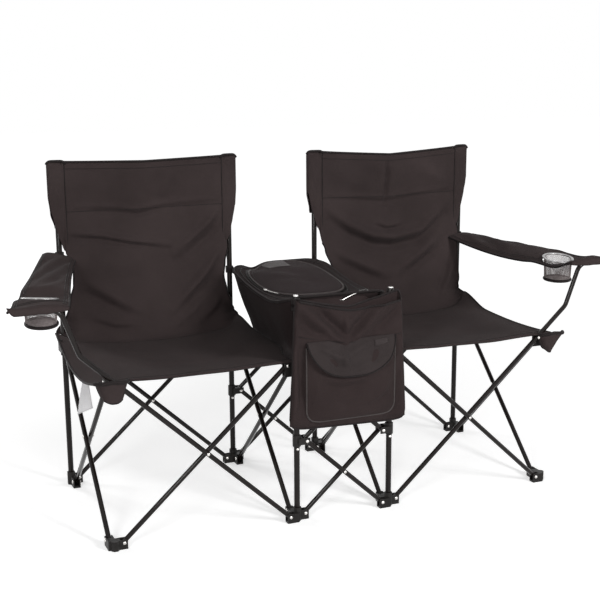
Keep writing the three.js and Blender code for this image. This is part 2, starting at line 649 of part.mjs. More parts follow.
function organiser() {
  const wall = ORGANISER_WALL;
  const r = ORGANISER_CORNER_R;
  const pocketLow = ORGANISER_LOW + POCKET_LOW;
  const bodies = [
    pouch(ORGANISER_HALF_W, ORGANISER_LOW, ORGANISER_TOP, ORGANISER_FRONT, ORGANISER_REAR, r),
    pouch(POCKET_HALF_W, pocketLow, POCKET_TOP, POCKET_FRONT, ORGANISER_FRONT + wall, r),
  ];
  const above = ORGANISER_TOP + wall;
  const rooms = [
    pouch(ORGANISER_HALF_W - wall, ORGANISER_LOW + wall, above,
      ORGANISER_FRONT + wall, ORGANISER_REAR - wall, r - wall),
    pouch(POCKET_HALF_W - wall, pocketLow + wall, POCKET_TOP + wall,
      POCKET_FRONT + wall, ORGANISER_FRONT, r - wall),
    block(
      point(-ORGANISER_HALF_W - wall, ORGANISER_FRONT - wall, ORGANISER_TOP - ORGANISER_FRONT_DROP),
      point(ORGANISER_HALF_W + wall, ORGANISER_REAR - wall, above)),
  ];
  const hangers = [1, 2].map((i) => {
    const base = column(i, FRONT_Y);
    return strap(base, ORGANISER_TOP - STRAP_H / 2, point(base.x, ORGANISER_REAR - wall / 2, 0));
  });
  const bores = [1, 2].map((i) => postBore(column(i, FRONT_Y), ORGANISER_LOW, ORGANISER_TOP * 2));
  return cut(joined([cut(joined(bodies), rooms), ...hangers]), bores);
}

function pocketFlap() {
  const face = POCKET_FRONT - SEAT_GAP;
  const top = POCKET_TOP + FLAP_RISE;
  const shape = new THREE.Shape();
  shape.moveTo(POCKET_HALF_W, top);
  shape.lineTo(-POCKET_HALF_W, top);
  shape.bezierCurveTo(
    -POCKET_HALF_W * 0.9, top - FLAP_H * 0.75, -POCKET_HALF_W * 0.45, top - FLAP_H, 0, top - FLAP_H);
  shape.bezierCurveTo(
    POCKET_HALF_W * 0.45, top - FLAP_H, POCKET_HALF_W * 0.9, top - FLAP_H * 0.75, POCKET_HALF_W, top);
  const slab = new THREE.ExtrudeGeometry(shape, { depth: FLAP_T, bevelEnabled: false, curveSegments: 6 });
  return joined([
    solid(slab.rotateX(Math.PI / 2).translate(0, face, 0)),
    block(
      point(-POCKET_HALF_W, face - FLAP_T, top - FLAP_T),
      point(POCKET_HALF_W, ORGANISER_FRONT - SEAT_GAP, top)),
  ]);
}

// The assembly

const finish = (color, roughness, metalness) => () => (
  new THREE.MeshStandardMaterial({ color, roughness, metalness }));
const paintedSteel = finish(0x1a1614, 0.3, 0.7);
const blackPlastic = finish(0x151414, 0.5, 0);
const cloth = finish(0x38322f, 0.85, 0);
const darkCloth = finish(0x2c2828, 0.85, 0);

const loveseat = new THREE.Group();

function add(name, body, material) {
  const mesh = new THREE.Mesh(geometryOf(body), material());
  mesh.name = name;
  loveseat.add(mesh);
}

const sides = Object.keys(END);
for (const side of sides) {
  for (let i = 0; i < COLUMN_X.length; i += 1) {
    if (hasPost(i, side)) {
      add(`${side}_post_${COLUMN_NAME[i]}`, post(i, side), paintedSteel);
      add(`${side}_hub_${COLUMN_NAME[i]}`, hub(i, side), blackPlastic);
    } else {
      add(`${side}_hub_${COLUMN_NAME[i]}`, cornerHub(i), blackPlastic);
    }
    add(`${side}_foot_${COLUMN_NAME[i]}`, foot(i, side), blackPlastic);
  }
  for (const i of [1, 2]) {
    add(`${side}_collar_${COLUMN_NAME[i]}`, midCollar(i, side), blackPlastic);
  }
}

// Cross bars of the two seat bays and of the two-stage centre bay, front and rear
const armBars = {};
for (const side of sides) {
  const y = END[side];
  const cross = (name, i, j, low, high) => {
    const falls = j < i;
    const layer = falls ? -LAYER : LAYER;
    const lower = pivotAt(i, j, y, low, layer);
    const upper = pivotAt(j, i, y, high, layer);
    const carriesArm = side === 'front' && !hasPost(j, side);
    const path = carriesArm ? armPath(lower, upper) : undefined;
    if (path) armBars[j] = path;
    add(name, bar(lower, upper, Y, falls, path), paintedSteel);
  };
  cross(`${side}_left_bar_rising`, 0, 1, FOOT_PIVOT_Z, HUB_Z);
  cross(`${side}_left_bar_falling`, 1, 0, FOOT_PIVOT_Z, HUB_Z);
  cross(`${side}_right_bar_rising`, 2, 3, FOOT_PIVOT_Z, HUB_Z);
  cross(`${side}_right_bar_falling`, 3, 2, FOOT_PIVOT_Z, HUB_Z);
  cross(`${side}_centre_lower_rising`, 1, 2, FOOT_PIVOT_Z, MID_Z);
  cross(`${side}_centre_lower_falling`, 2, 1, FOOT_PIVOT_Z, MID_Z);
  cross(`${side}_centre_upper_rising`, 1, 2, MID_Z, HUB_Z);
  cross(`${side}_centre_upper_falling`, 2, 1, MID_Z, HUB_Z);
}

// Side bars, from each front foot to its rear hub and from each rear foot to its front hub
COLUMN_X.forEach((x, i) => {
  const ends = [FRONT_Y + PIVOT_OUT_Y, REAR_Y - PIVOT_OUT_Y];
  const frontFoot = point(x - LAYER, ends[0], FOOT_PIVOT_Z);
  const rearHub = point(x - LAYER, ends[1], HUB_Z);
  const rearFoot = point(x + LAYER, ends[1], FOOT_PIVOT_Z);
  const frontHub = point(x + LAYER, ends[0], HUB_Z);
  add(`side_bar_to_rear_${COLUMN_NAME[i]}`, bar(frontFoot, rearHub, X, true), paintedSteel);
  add(`side_bar_to_front_${COLUMN_NAME[i]}`, bar(rearFoot, frontHub, X, false), paintedSteel);
});

add('back_left', back(0, LEFT_FOLD), cloth);
add('back_right', back(2, RIGHT_FOLD), cloth);
add('seat_left', seat(0, armBars[0]), cloth);
add('seat_right', seat(2, armBars[3]), cloth);
add('arm_left', arm(0, armBars[0]), cloth);
add('arm_right', arm(3, armBars[3]), cloth);
add('cooler_bag', coolerBag(), darkCloth);
add('cooler_lid', coolerLid(), darkCloth);
add('organiser', organiser(), darkCloth);
add('pocket_flap', pocketFlap(), darkCloth);

// The origin is on the ground, under the middle of the whole chair
const bounds = new THREE.Box3().setFromObject(loveseat, true);
const middle = bounds.getCenter(new THREE.Vector3());
loveseat.position.set(-middle.x, -middle.y, -bounds.min.z);
loveseat.updateMatrixWorld(true);

export default loveseat;
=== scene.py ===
"""Folding camping loveseat: finishes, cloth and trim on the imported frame.

Shapes are written in millimetres in the frame's own axes, with the floor at z = 0,
and piece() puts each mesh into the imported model's metres. A cloth's place(u, v) gives
the point at a share across and a share up or along it.
"""

from functools import partial
from math import copysign, cos, exp, inf, pi, radians, sin, sqrt, tan

import bmesh
import bpy
from mathutils import Matrix, Vector, noise


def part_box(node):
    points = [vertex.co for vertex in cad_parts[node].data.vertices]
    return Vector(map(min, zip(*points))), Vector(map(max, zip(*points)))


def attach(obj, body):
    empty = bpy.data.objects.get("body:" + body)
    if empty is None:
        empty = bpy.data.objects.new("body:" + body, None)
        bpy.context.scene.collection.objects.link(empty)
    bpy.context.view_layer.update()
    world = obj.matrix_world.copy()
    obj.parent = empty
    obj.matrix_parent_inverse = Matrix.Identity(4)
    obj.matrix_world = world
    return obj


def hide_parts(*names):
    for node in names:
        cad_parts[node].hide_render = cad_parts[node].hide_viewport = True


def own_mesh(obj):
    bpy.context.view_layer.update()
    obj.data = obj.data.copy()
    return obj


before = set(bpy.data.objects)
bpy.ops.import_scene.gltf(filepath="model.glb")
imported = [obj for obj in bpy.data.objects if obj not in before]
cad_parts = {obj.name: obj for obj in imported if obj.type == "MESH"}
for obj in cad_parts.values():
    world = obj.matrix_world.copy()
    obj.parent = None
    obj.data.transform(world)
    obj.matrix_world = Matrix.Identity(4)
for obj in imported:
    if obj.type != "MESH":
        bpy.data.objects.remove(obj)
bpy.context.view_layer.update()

MM = 0.001
ALONG_X, ALONG_Y = (1, 0, 0), (0, 1, 0)

# ---------------------------------------------------------------- places on the frame
COLUMN_NAMES = ("left_outer", "left_inner", "right_inner", "right_outer")
COLUMN_X = (-637.0, -137.0, 137.0, 637.0)
FRONT_Y, REAR_Y = -261.0, 261.0
FOOT_PIVOT_Z, MID_Z, HUB_Z = 17.0, 226.0, 435.0
PIVOT_OUT_X, PIVOT_OUT_Y = 24.0, 35.0
LAYER = 7.0
POST_R, BAR_R, BAR_END = 8.0, 6.5, 7.0
TUBE_SIDES = 24
CHEEK_FACE = 10.4
POST_LOW, REAR_POST_TOP, FRONT_POST_TOP = 5.0, 930.0, 620.0
STOP_Z = MID_Z - 22.0
ARM_BEND, ARM_RISE, ARM_HAND, ARM_BEND_R = 124.0, 128.0, 105.0, 34.0
ARM_LEAN = radians(20)
# Radius and height of the rivet heads, and how far those on a tube sink into it
PIVOT_RIVET, CROSSING_RIVET, STOP_RIVET = (4.9, 2.6), (4.4, 2.4), (4.4, 3.4)
CROSSING_SINK, STOP_SINK = 0.3, 0.4

# ---------------------------------------------------------------- places on the cloth
BACK_TOP = 936.0
CREASE_Y = REAR_Y - 88.0
SEAT_LEVEL = 449.5
SEAT_HANG_IN = 24.7
ARM_REAR_Z = 669.0
ARM_HAND_Z = 639.5
COOLER_TOP, COOLER_BOTTOM = 597.0, 362.0
ORGANISER_TOP, ORGANISER_LOW = 615.0, 263.0
ORGANISER_REAR, ORGANISER_FRONT = -282.0, -301.0
POCKET_TOP, POCKET_LOW, POCKET_HALF = 497.0, 285.0, 128.0
POCKET_FRONT = -323.0

post_low, post_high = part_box("rear_post_left_outer")
far_low, far_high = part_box("rear_post_right_outer")
FRAME_X = (post_low[0] + post_high[0] + far_low[0] + far_high[0]) / 4
FRAME_Y = (post_low[1] + post_high[1]) / 2 - REAR_Y * MM
TO_FRAME = Matrix.Translation((FRAME_X, FRAME_Y, 0)) @ Matrix.Scale(MM, 4)


def in_frame(x, y, z):
    return tuple(TO_FRAME @ Vector((x, y, z)))


def lerp(a, b, t):
    return a + (b - a) * t


def limit(value, low=0.0, high=1.0):
    return min(max(value, low), high)


def ease(t):
    t = limit(t)
    return t * t * (3 - 2 * t)


def steps(a, b, count):
    return [lerp(a, b, k / (count - 1)) for k in range(count)]


def arch(t):
    """0 at both ends and 1 half way."""
    return sin(pi * t)


def bell(distance, width):
    """1 at no distance, falling away over a width."""
    return exp(-(distance / width) ** 2)


def power(value, exponent):
    """A power that keeps the sign."""
    return copysign(abs(value) ** exponent, value)


# ---------------------------------------------------------------- finishes
def add_node(tree, kind, inputs=(), **settings):
    """A new node with its settings, and with links or values at its inputs."""
    made = tree.nodes.new(kind)
    for key, value in settings.items():
        setattr(made, key, value)
    for key, value in dict(inputs).items():
        if hasattr(value, "is_output"):
            tree.links.new(value, made.inputs[key])
        else:
            made.inputs[key].default_value = value
    return made


class Finish:
    """A node material with the shader ready to take links."""

    def __init__(self, name, **sockets):
        self.material = bpy.data.materials.new(name)
        self.material.use_nodes = True
        self.tree = self.material.node_tree
        self.shader = self.tree.nodes["Principled BSDF"]
        for socket, value in sockets.items():
            self.shader.inputs[socket.replace("_", " ")].default_value = value
        self.place = self.node("ShaderNodeTexCoord")

    def node(self, kind, inputs=(), **settings):
        return add_node(self.tree, kind, inputs, **settings)

    def noise(self, scale, detail, coords="Object"):
        return self.node("ShaderNodeTexNoise", {
            "Vector": self.place.outputs[coords], "Scale": scale, "Detail": detail,
            "Roughness": 0.55}).outputs["Fac"]

    def ramp(self, fac, low, high, stops=(0.3, 0.7)):
        made = self.node("ShaderNodeValToRGB", {"Fac": fac})
        for element, at, colour in zip(made.color_ramp.elements, stops, (low, high)):
            element.position = at
            element.color = (*colour, 1.0)
        return made.outputs["Color"]

    def span(self, value, low, high):
        made = self.node("ShaderNodeMapRange", {"Value": value, "To Min": low, "To Max": high})
        return made.outputs["Result"]

    def math(self, operation, a, b):
        return self.node("ShaderNodeMath", {0: a, 1: b}, operation=operation).outputs[0]

    def bump(self, height, strength, distance, normal=None):
        inputs = {"Height": height, "Strength": strength, "Distance": distance}
        if normal:
            inputs["Normal"] = normal
        return self.node("ShaderNodeBump", inputs).outputs["Normal"]

    def feed(self, colour, roughness, normal):
        """Links the three outputs that every finish varies."""
        outputs = {"Base Color": colour, "Roughness": roughness, "Normal": normal}
        for socket, output in outputs.items():
            self.tree.links.new(output, self.shader.inputs[socket])
        return self.material


def woven(name, dark, light, thread, roughness, sheen):
    """Plain weave: threads run along the cloth's own UV map, in metres."""
    finish = Finish(name, Sheen_Weight=sheen, Sheen_Roughness=0.5, Specular_IOR_Level=0.05)
    waves = 2 * pi / (20 * thread * MM)
    over, under = (
        finish.node("ShaderNodeTexWave", {
            "Vector": finish.place.outputs["UV"], "Scale": waves, "Distortion": 0.6,
            "Detail": 1.0}, wave_type="BANDS", bands_direction=direction).outputs["Fac"]
        for direction in ("X", "Y"))
    weave = finish.math("MULTIPLY", over, under)
    slubs = finish.noise(scale=420.0, detail=2.0, coords="UV")
    wear = finish.noise(scale=6.0, detail=4.0)
    puckers = finish.noise(scale=38.0, detail=3.0)
    weave_tone, slub_tone, wear_tone = (
        finish.math("MULTIPLY", output, share)
        for output, share in ((weave, 0.3), (slubs, 0.35), (wear, 0.5)))
    tone = finish.math("ADD", finish.math("ADD", weave_tone, slub_tone), wear_tone)
    return finish.feed(
        finish.ramp(tone, dark, light, stops=(0.3, 0.85)),
        finish.span(wear, low=roughness - 0.08, high=roughness + 0.06),
        finish.bump(weave, strength=0.5, distance=0.0005,
                    normal=finish.bump(puckers, strength=0.3, distance=0.002)))


def binding(name, dark, light, roughness):
    """Folded tape or piping: fine diagonal twill."""
    finish = Finish(name, Sheen_Weight=0.03, Sheen_Roughness=0.5, Specular_IOR_Level=0.1)
    turned = finish.node("ShaderNodeMapping", {
        "Vector": finish.place.outputs["Object"], "Rotation": (0.6, 0.4, 0.8)}).outputs["Vector"]
    twill = finish.node("ShaderNodeTexWave", {"Vector": turned, "Scale": 170.0, "Distortion": 1.2},
                        wave_type="BANDS", bands_direction="DIAGONAL").outputs["Fac"]
    fibre = finish.noise(scale=260.0, detail=2.0)
    return finish.feed(
        finish.ramp(finish.math("MULTIPLY", twill, fibre), dark, light, stops=(0.1, 0.6)),
        finish.span(fibre, low=roughness - 0.06, high=roughness + 0.06),
        finish.bump(twill, strength=0.4, distance=0.0005))


def hard(name, dark, light, tone, grain, rough, relief, rough_by_grain=False, **sockets):
    """Paint, plastic or metal: a broad noise for its tone and a fine one for its surface.

    tone and grain are a scale and a detail, rough a range, relief a strength and a distance.
    """
    finish = Finish(name, **sockets)
    fine, broad = finish.noise(*grain), finish.noise(*tone)
    return finish.feed(
        finish.ramp(broad, dark, light),
        finish.span(fine if rough_by_grain else broad, *rough),
        finish.bump(fine, *relief))


SEAT_CLOTH = woven(
    "woven_seat_cloth", (0.0275, 0.0205, 0.0203), (0.063, 0.0475, 0.047), thread=1.1,
    roughness=0.84, sheen=0.02)
BAG_CLOTH, SHADED_COOLER_CLOTH, SHADED_LID_CLOTH, FLAP_CLOTH = (
    woven(f"woven_{part}_cloth", dark, light, thread=0.9, roughness=0.8, sheen=0.02)
    for part, dark, light in (
        ("bag", (0.0225, 0.0158, 0.0157), (0.0515, 0.0372, 0.0367)),
        # The cooler cloth is a darker copy of the bag cloth: painted shade on the cooler's walls.
        ("cooler", (0.0135, 0.0095, 0.0095), (0.031, 0.0225, 0.0223)),
        # The lid cloth is a darker copy of the bag cloth: painted shade on the lid's top.
        ("lid", (0.0195, 0.0138, 0.0142), (0.045, 0.033, 0.034)),
        ("flap", (0.0262, 0.0208, 0.0207), (0.061, 0.0495, 0.049))))
NET_FLOOR = woven(
    "pale_net_floor", (0.24, 0.205, 0.2), (0.44, 0.385, 0.38), thread=1.6, roughness=0.8,
    sheen=0.05)
TAG_CLOTH = woven(
    "blank_white_tag", (0.66, 0.65, 0.66), (0.86, 0.85, 0.86), thread=0.5, roughness=0.75,
    sheen=0.05)
PATCH = woven(
    "plain_grey_patch", (0.058, 0.05, 0.05), (0.105, 0.094, 0.093), thread=0.7, roughness=0.5,
    sheen=0.03)
FLAP_TAB = woven(
    "plain_flap_tab", (0.033, 0.0265, 0.0265), (0.072, 0.06, 0.0595), thread=0.7, roughness=0.6,
    sheen=0.02)
DARK_BINDING = binding("dark_binding_tape", (0.0075, 0.0058, 0.0058), (0.026, 0.02, 0.02), 0.62)
# Grey piping: its own lighter colour on the pocket; round the lid it also serves as a painted
# highlight.
GREY_PIPING_AND_HIGHLIGHT = binding("grey_piping_and_highlight", (0.04, 0.034, 0.033), (0.098, 0.085, 0.083), 0.55)
STITCHES = binding("black_stitching", (0.006, 0.005, 0.005), (0.03, 0.025, 0.025), 0.6)
NET_CORD = binding("pale_net_cord", (0.2, 0.17, 0.168), (0.4, 0.35, 0.345), 0.7)
TUBE_PAINT = hard(
    "gloss_black_tube_paint", (0.0068, 0.0047, 0.0043), (0.0145, 0.011, 0.01),
    tone=(14.0, 5.0), grain=(240.0, 2.0), rough=(0.07, 0.15), relief=(0.06, 0.0004),
    Coat_Weight=0.1, Coat_Roughness=0.04, Specular_IOR_Level=0.15)
NYLON = hard(
    "moulded_black_nylon", (0.0085, 0.0075, 0.0072), (0.019, 0.0168, 0.016),
    tone=(30.0, 4.0), grain=(900.0, 2.0), rough=(0.36, 0.52), relief=(0.16, 0.0003),
    Specular_IOR_Level=0.2)
RIVET_STEEL, RING_SILVER = (
    hard(name, dark, light, tone=(35.0, 3.0), grain=(160.0, 3.0), rough=rough,
         relief=(0.06, 0.0002), rough_by_grain=True, Metallic=1.0)
    for name, dark, light, rough in (
        ("rivet_steel", (0.5, 0.48, 0.46), (0.82, 0.8, 0.78), (0.16, 0.36)),
        ("silvered_cup_ring", (0.24, 0.235, 0.235), (0.46, 0.455, 0.455), (0.28, 0.48))))


# ---------------------------------------------------------------- making pieces
SMOOTH, HARD, CRISP = 180, 40, 35  # edges sharper than this angle stay sharp
WELD = 0.02


def piece(name, bm, body, *finishes, slot=None, sharp=SMOOTH):
    """Puts a mesh drawn in millimetres into the frame, finished and riding on its body."""
    bmesh.ops.remove_doubles(bm, verts=bm.verts, dist=WELD)
    bmesh.ops.recalc_face_normals(bm, faces=bm.faces)
    bmesh.ops.transform(bm, matrix=TO_FRAME, verts=bm.verts)
    mesh = bpy.data.meshes.new(name)
    bm.to_mesh(mesh)
    bm.free()
    mesh.shade_smooth()
    mesh.set_sharp_from_angle(angle=radians(sharp))
    for finish in finishes:
        mesh.materials.append(finish)
    made = bpy.data.objects.new(name, mesh)
    bpy.context.scene.collection.objects.link(made)
    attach(made, body)
    return made


def thicken(made, thickness):
    """Gives a sheet its thickness."""
    wall = made.modifiers.new("cloth", "SOLIDIFY")
    wall.thickness = thickness * MM
    wall.offset = 0.0
    return made


def cloth(cells, place, flat):
    """A grid of cloth put in place point by point, with a UV map in metres of flat cloth."""
    bm = bmesh.new()
    uv = bm.loops.layers.uv.new("flat_cloth")
    bmesh.ops.create_grid(bm, x_segments=cells[0], y_segments=cells[1], size=0.5)
    shares = {v: (v.co.x + 0.5, v.co.y + 0.5) for v in bm.verts}
    for face in bm.faces:
        for loop in face.loops:
            u, v = shares[loop.vert]
            loop[uv].uv = (u * flat[0] * MM, v * flat[1] * MM)
    for vert, (u, v) in shares.items():
        vert.co = place(u, v)
    return bm


def cloth_piece(name, body, finish, place, cells, flat, thick, slot=None):
    """One sheet of cloth with its thickness."""
    return thicken(piece(name, cloth(cells, place, flat), body, finish, slot=slot), thick)


# Trim and sheets of the seats and of the bags
seat_trim, bag_trim = (partial(piece, slot=slot) for slot in ("seat_cloth", "bag_cloth"))
seat_sheet, bag_sheet = (partial(cloth_piece, slot=slot) for slot in ("seat_cloth", "bag_cloth"))


def gather(pieces, anchor):
    """Gives each piece its own copy of its mesh."""
    for made in pieces:
        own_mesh(made)
        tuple(anchor)


def line_across(place, v, start, end, count, shift=(0, 0, 0)):
    """Points across a cloth at one share of its height, shifted off it."""
    return [place(u, v) + Vector(shift) for u in steps(start, end, count)]


def line_up(place, u, start, end, count, shift=(0, 0, 0)):
    """Points up a cloth at one share of its width, shifted off it."""
    return [place(u, v) + Vector(shift) for v in steps(start, end, count)]


def give_finish(bm, old_faces, finish):
    """Gives the faces made since old_faces were noted their material slot."""
    for face in bm.faces:
        if face not in old_faces:
            face.material_index = finish


def facing(axis):
    """A turn from the z axis to another."""
    return Vector(axis).to_track_quat("Z", "Y").to_matrix().to_4x4()


def ring_frames(path, closed):
    """A matrix at each point of a path, turned as little as the path allows."""
    path = [Vector(p) for p in path]
    frames = []
    heading = turn = None
    for k, at in enumerate(path):
        before = path[k - 1] if closed or k else at
        after = path[(k + 1) % len(path)] if closed or k < len(path) - 1 else at
        ahead = (after - before).normalized()
        if heading is None:
            turn = ahead.to_track_quat("Z", "Y")
        else:
            turn = heading.rotation_difference(ahead) @ turn
        heading = ahead
        frames.append(Matrix.Translation(at) @ turn.to_matrix().to_4x4())
    return frames


def sweep(bm, path, radius, sides=8, closed=False, finish=0, flatten=1.0):
    """A round cord or tube along a path, closed at its ends or on itself."""
    frames = ring_frames(path, closed)
    old_faces = set(bm.faces)
    squeeze = Matrix.Diagonal((1.0, flatten, 1.0, 1.0))
    verts = bmesh.ops.create_circle(
        bm, segments=sides, radius=radius, matrix=frames[0] @ squeeze)["verts"]
    first = edges = list({e for v in verts for e in v.link_edges})
    for last, following in zip(frames, frames[1:]):
        made = bmesh.ops.extrude_edge_only(bm, edges=edges)["geom"]
        verts = {g for g in made if isinstance(g, bmesh.types.BMVert)}
        edges = [g for g in made
                 if isinstance(g, bmesh.types.BMEdge) and verts.issuperset(g.verts)]
        bmesh.ops.transform(bm, matrix=following @ last.inverted(), verts=list(verts))
    if closed:
        bmesh.ops.bridge_loops(bm, edges=first + edges)
    else:
        for rim in (first, edges):
            bmesh.ops.edgeloop_fill(bm, edges=rim)
    give_finish(bm, old_faces, finish)


def stitch(bm, path, radius, finish=0):
    """A raised row of stitches."""
    sweep(bm, path, radius, sides=6, finish=finish)


def ease_edges(bm, edges, width):
    bmesh.ops.bevel(bm, geom=edges, offset=width, segments=2, profile=0.5, affect="EDGES",
                    material=-1)


def rod(bm, start, end, radius, rim=0.8, finish=0):
    """A straight round bar with eased ends."""
    start, end = Vector(start), Vector(end)
    old_faces = set(bm.faces)
    made = bmesh.ops.create_cone(
        bm, cap_ends=True, segments=TUBE_SIDES, radius1=radius, radius2=radius,
        depth=(end - start).length,
        matrix=Matrix.Translation((start + end) / 2) @ facing(end - start))["verts"]
    rims = [e for e in {e for v in made for e in v.link_edges}
            if any(len(f.verts) > 4 for f in e.link_faces)]
    ease_edges(bm, rims, rim)
    give_finish(bm, old_faces, finish)


def rivet_head(bm, at, axis, size):
    """A domed rivet head on a face that looks along axis."""
    radius, height = size
    old_faces = set(bm.faces)
    bmesh.ops.create_uvsphere(
        bm, u_segments=16, v_segments=8, radius=radius,
        matrix=Matrix.Translation(at) @ facing(axis) @ Matrix.Diagonal((1, 1, height / radius, 1)))
    give_finish(bm, old_faces, finish=1)


def rounded_path(points, radius, arc_steps=8):
    """A path through straight runs with its corners turned to arcs."""
    points = [Vector(p) for p in points]
    path = [points[0]]
    for before, corner, after in zip(points, points[1:], points[2:]):
        arriving = (corner - before).normalized()
        leaving = (after - corner).normalized()
        half = arriving.angle(leaving) / 2
        middle = corner + (leaving - arriving).normalized() * radius / cos(half)
        start = corner - arriving * radius * tan(half) - middle
        pole = arriving.cross(leaving).normalized()
        path += [middle + Matrix.Rotation(2 * half * k / arc_steps, 3, pole) @ start
                 for k in range(arc_steps + 1)]
    return path + [points[-1]]


# ---------------------------------------------------------------- the frame
def moulding(node, body):
    """A hub, foot or collar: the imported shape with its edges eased."""
    bm = bmesh.new()
    bm.from_mesh(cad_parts[node].data)
    bmesh.ops.remove_doubles(bm, verts=bm.verts, dist=WELD * MM)
    bmesh.ops.dissolve_limit(bm, angle_limit=radians(1), verts=bm.verts, edges=bm.edges)
    bmesh.ops.transform(bm, matrix=TO_FRAME.inverted(), verts=bm.verts)
    made = piece(node + "_moulding", bm, body, NYLON, slot="moulding", sharp=CRISP)
    eased = made.modifiers.new("eased", "BEVEL")
    eased.width = 0.8 * MM
    eased.segments = 2
    eased.limit_method = "ANGLE"
    eased.angle_limit = radians(38)
    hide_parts(node)


def tube_piece(node, bm, body):
    made = piece(node + "_tube", bm, body, TUBE_PAINT, RIVET_STEEL, slot="tube", sharp=HARD)
    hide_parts(node)


def bar(node, lower, upper, axis, crossing, path=None):
    """A tube between two pivots, with the rivet heads of its pivots and of its crossing."""
    lower, upper, axis = Vector(lower), Vector(upper), Vector(axis)
    up = (upper - lower).normalized()
    bm = bmesh.new()
    if path:
        sweep(bm, path, BAR_R, sides=TUBE_SIDES)
    else:
        rod(bm, lower - up * BAR_END, upper + up * BAR_END, BAR_R)
    for pivot in (lower, upper):
        for side in (-1, 1):
            rivet_head(bm, pivot + axis * side * CHEEK_FACE, axis * side, PIVOT_RIVET)
    if crossing:
        middle = (lower + upper) / 2
        face = BAR_R - CROSSING_SINK
        for reach in (-face, 2 * LAYER + face):
            rivet_head(bm, middle + axis * reach, axis, CROSSING_RIVET)
    tube_piece(node, bm, node)


def post(node, x, y, top, body, stop):
    """An upright tube; an inner one has a stop rivet, a front one a plug in its top."""
    bm = bmesh.new()
    rod(bm, (x, y, POST_LOW), (x, y, top), POST_R, rim=2.0)
    if stop:
        rivet_head(bm, (x, y - POST_R + STOP_SINK, STOP_Z), (0, -1, 0), STOP_RIVET)
    if top == FRONT_POST_TOP:
        rod(bm, (x, y, top - 3), (x, y, top + 2), POST_R - 0.6, rim=1.2, finish=1)
    tube_piece(node, bm, body)


def scissor_pair(stem, left, right, y, low, high):
    """Two crossing bars of a bay; the one that falls to the right lies in front."""
    x1, x2 = COLUMN_X[left] + PIVOT_OUT_X, COLUMN_X[right] - PIVOT_OUT_X
    for way in ("rising", "falling"):
        node = f"{stem}_{way}"
        falls = way == "falling"
        layer = y - LAYER if falls else y + LAYER
        start = (x2 if falls else x1, layer, low)
        end = (x1 if falls else x2, layer, high)
        carries_arm = node in ("front_left_bar_falling", "front_right_bar_rising")
        bar(node, start, end, ALONG_Y, falls, arm_tube_path(start, end) if carries_arm else None)


def arm_tube_path(lower, corner):
    """A front bar that goes on past its corner hub, leans out and turns level under the arm."""
    lower, corner = Vector(lower), Vector(corner)
    up = (corner - lower).normalized()
    out = copysign(1.0, up.x)
    bend = corner + up * ARM_BEND
    hand = bend + Vector((out * sin(ARM_LEAN), 0, cos(ARM_LEAN))) * ARM_RISE
    grip = hand + Vector((out * ARM_HAND, 0, 0))
    return rounded_path([lower - up * BAR_END, bend, hand, grip], ARM_BEND_R)


for side, y, top in (("front", FRONT_Y, FRONT_POST_TOP), ("rear", REAR_Y, REAR_POST_TOP)):
    for x, column in zip(COLUMN_X, COLUMN_NAMES):
        body = f"{side}_column_{column}"
        inner = column.endswith("inner")
        if side == "rear" or inner:
            post(f"{side}_post_{column}", x, y, top, body, inner)
        moulding(f"{side}_foot_{column}", body)
        for sliding in ("hub", "collar") if inner else ("hub",):
            moulding(f"{side}_{sliding}_{column}", f"{side}_{sliding}_{column}")
    for bay, left, right, low, high in (
            ("left_bar", 0, 1, FOOT_PIVOT_Z, HUB_Z), ("right_bar", 2, 3, FOOT_PIVOT_Z, HUB_Z),
            ("centre_lower", 1, 2, FOOT_PIVOT_Z, MID_Z), ("centre_upper", 1, 2, MID_Z, HUB_Z)):
        scissor_pair(f"{side}_{bay}", left, right, y, low, high)

for x, column in zip(COLUMN_X, COLUMN_NAMES):
    near, far = FRONT_Y + PIVOT_OUT_Y, REAR_Y - PIVOT_OUT_Y
    bar(
        f"side_bar_to_rear_{column}", (x - LAYER, near, FOOT_PIVOT_Z), (x - LAYER, far, HUB_Z),
        ALONG_X, crossing=True)
    bar(
        f"side_bar_to_front_{column}", (x + LAYER, far, FOOT_PIVOT_Z), (x + LAYER, near, HUB_Z),
        ALONG_X, crossing=False)


# ---------------------------------------------------------------- folds in cloth
def along(points, t):
    """A smooth curve through points, by share of its length."""
    points = [Vector(p) for p in points]
    lengths = [0.0]
    for a, b in zip(points, points[1:]):
        lengths.append(lengths[-1] + (b - a).length)
    target = limit(t) * lengths[-1]
    k = max(i for i in range(len(points) - 1) if lengths[i] <= target + 1e-9)
    s = (target - lengths[k]) / (lengths[k + 1] - lengths[k])
    p1, p2 = points[k], points[k + 1]
    p0 = points[k - 1] if k else p1 - (p2 - p1)
    p3 = points[k + 2] if k + 2 < len(points) else p2 + (p2 - p1)
    return 0.5 * (2 * p1 + (p2 - p0) * s + (2 * p0 - 5 * p1 + 4 * p2 - p3) * s * s
                  + (3 * p1 - 3 * p2 + p3 - p0) * s ** 3)


def table_value(rows, at):
    """A value read from rows of (place, value), eased between them."""
    if at <= rows[0][0]:
        return rows[0][1]
    for (a, va), (b, vb) in zip(rows, rows[1:]):
        if at <= b:
            return lerp(va, vb, ease((at - a) / (b - a)))
    return rows[-1][1]


def fold_rise(x, z, folds):
    """How far folds lift the cloth at a place: each is a line, a width and a height."""
    total = 0.0
    for line, width, height in folds:
        nearest, share = inf, 0.0
        for k, ((ax, az), (bx, bz)) in enumerate(zip(line, line[1:])):
            dx, dz = bx - ax, bz - az
            t = limit(((x - ax) * dx + (z - az) * dz) / (dx * dx + dz * dz))
            gap = (x - ax - t * dx) ** 2 + (z - az - t * dz) ** 2
            if gap < nearest:
                nearest, share = gap, (k + t) / (len(line) - 1)
        fade = arch(limit(share, 0.06, 0.94)) ** 0.6
        total += height * fade * exp(-nearest / (width * width))
    return total


def ripple(x, y, z, size, seed):
    """Small unevenness of cloth, between -1 and 1."""
    return noise.noise(Vector((x / size + seed, y / size, z / size)))


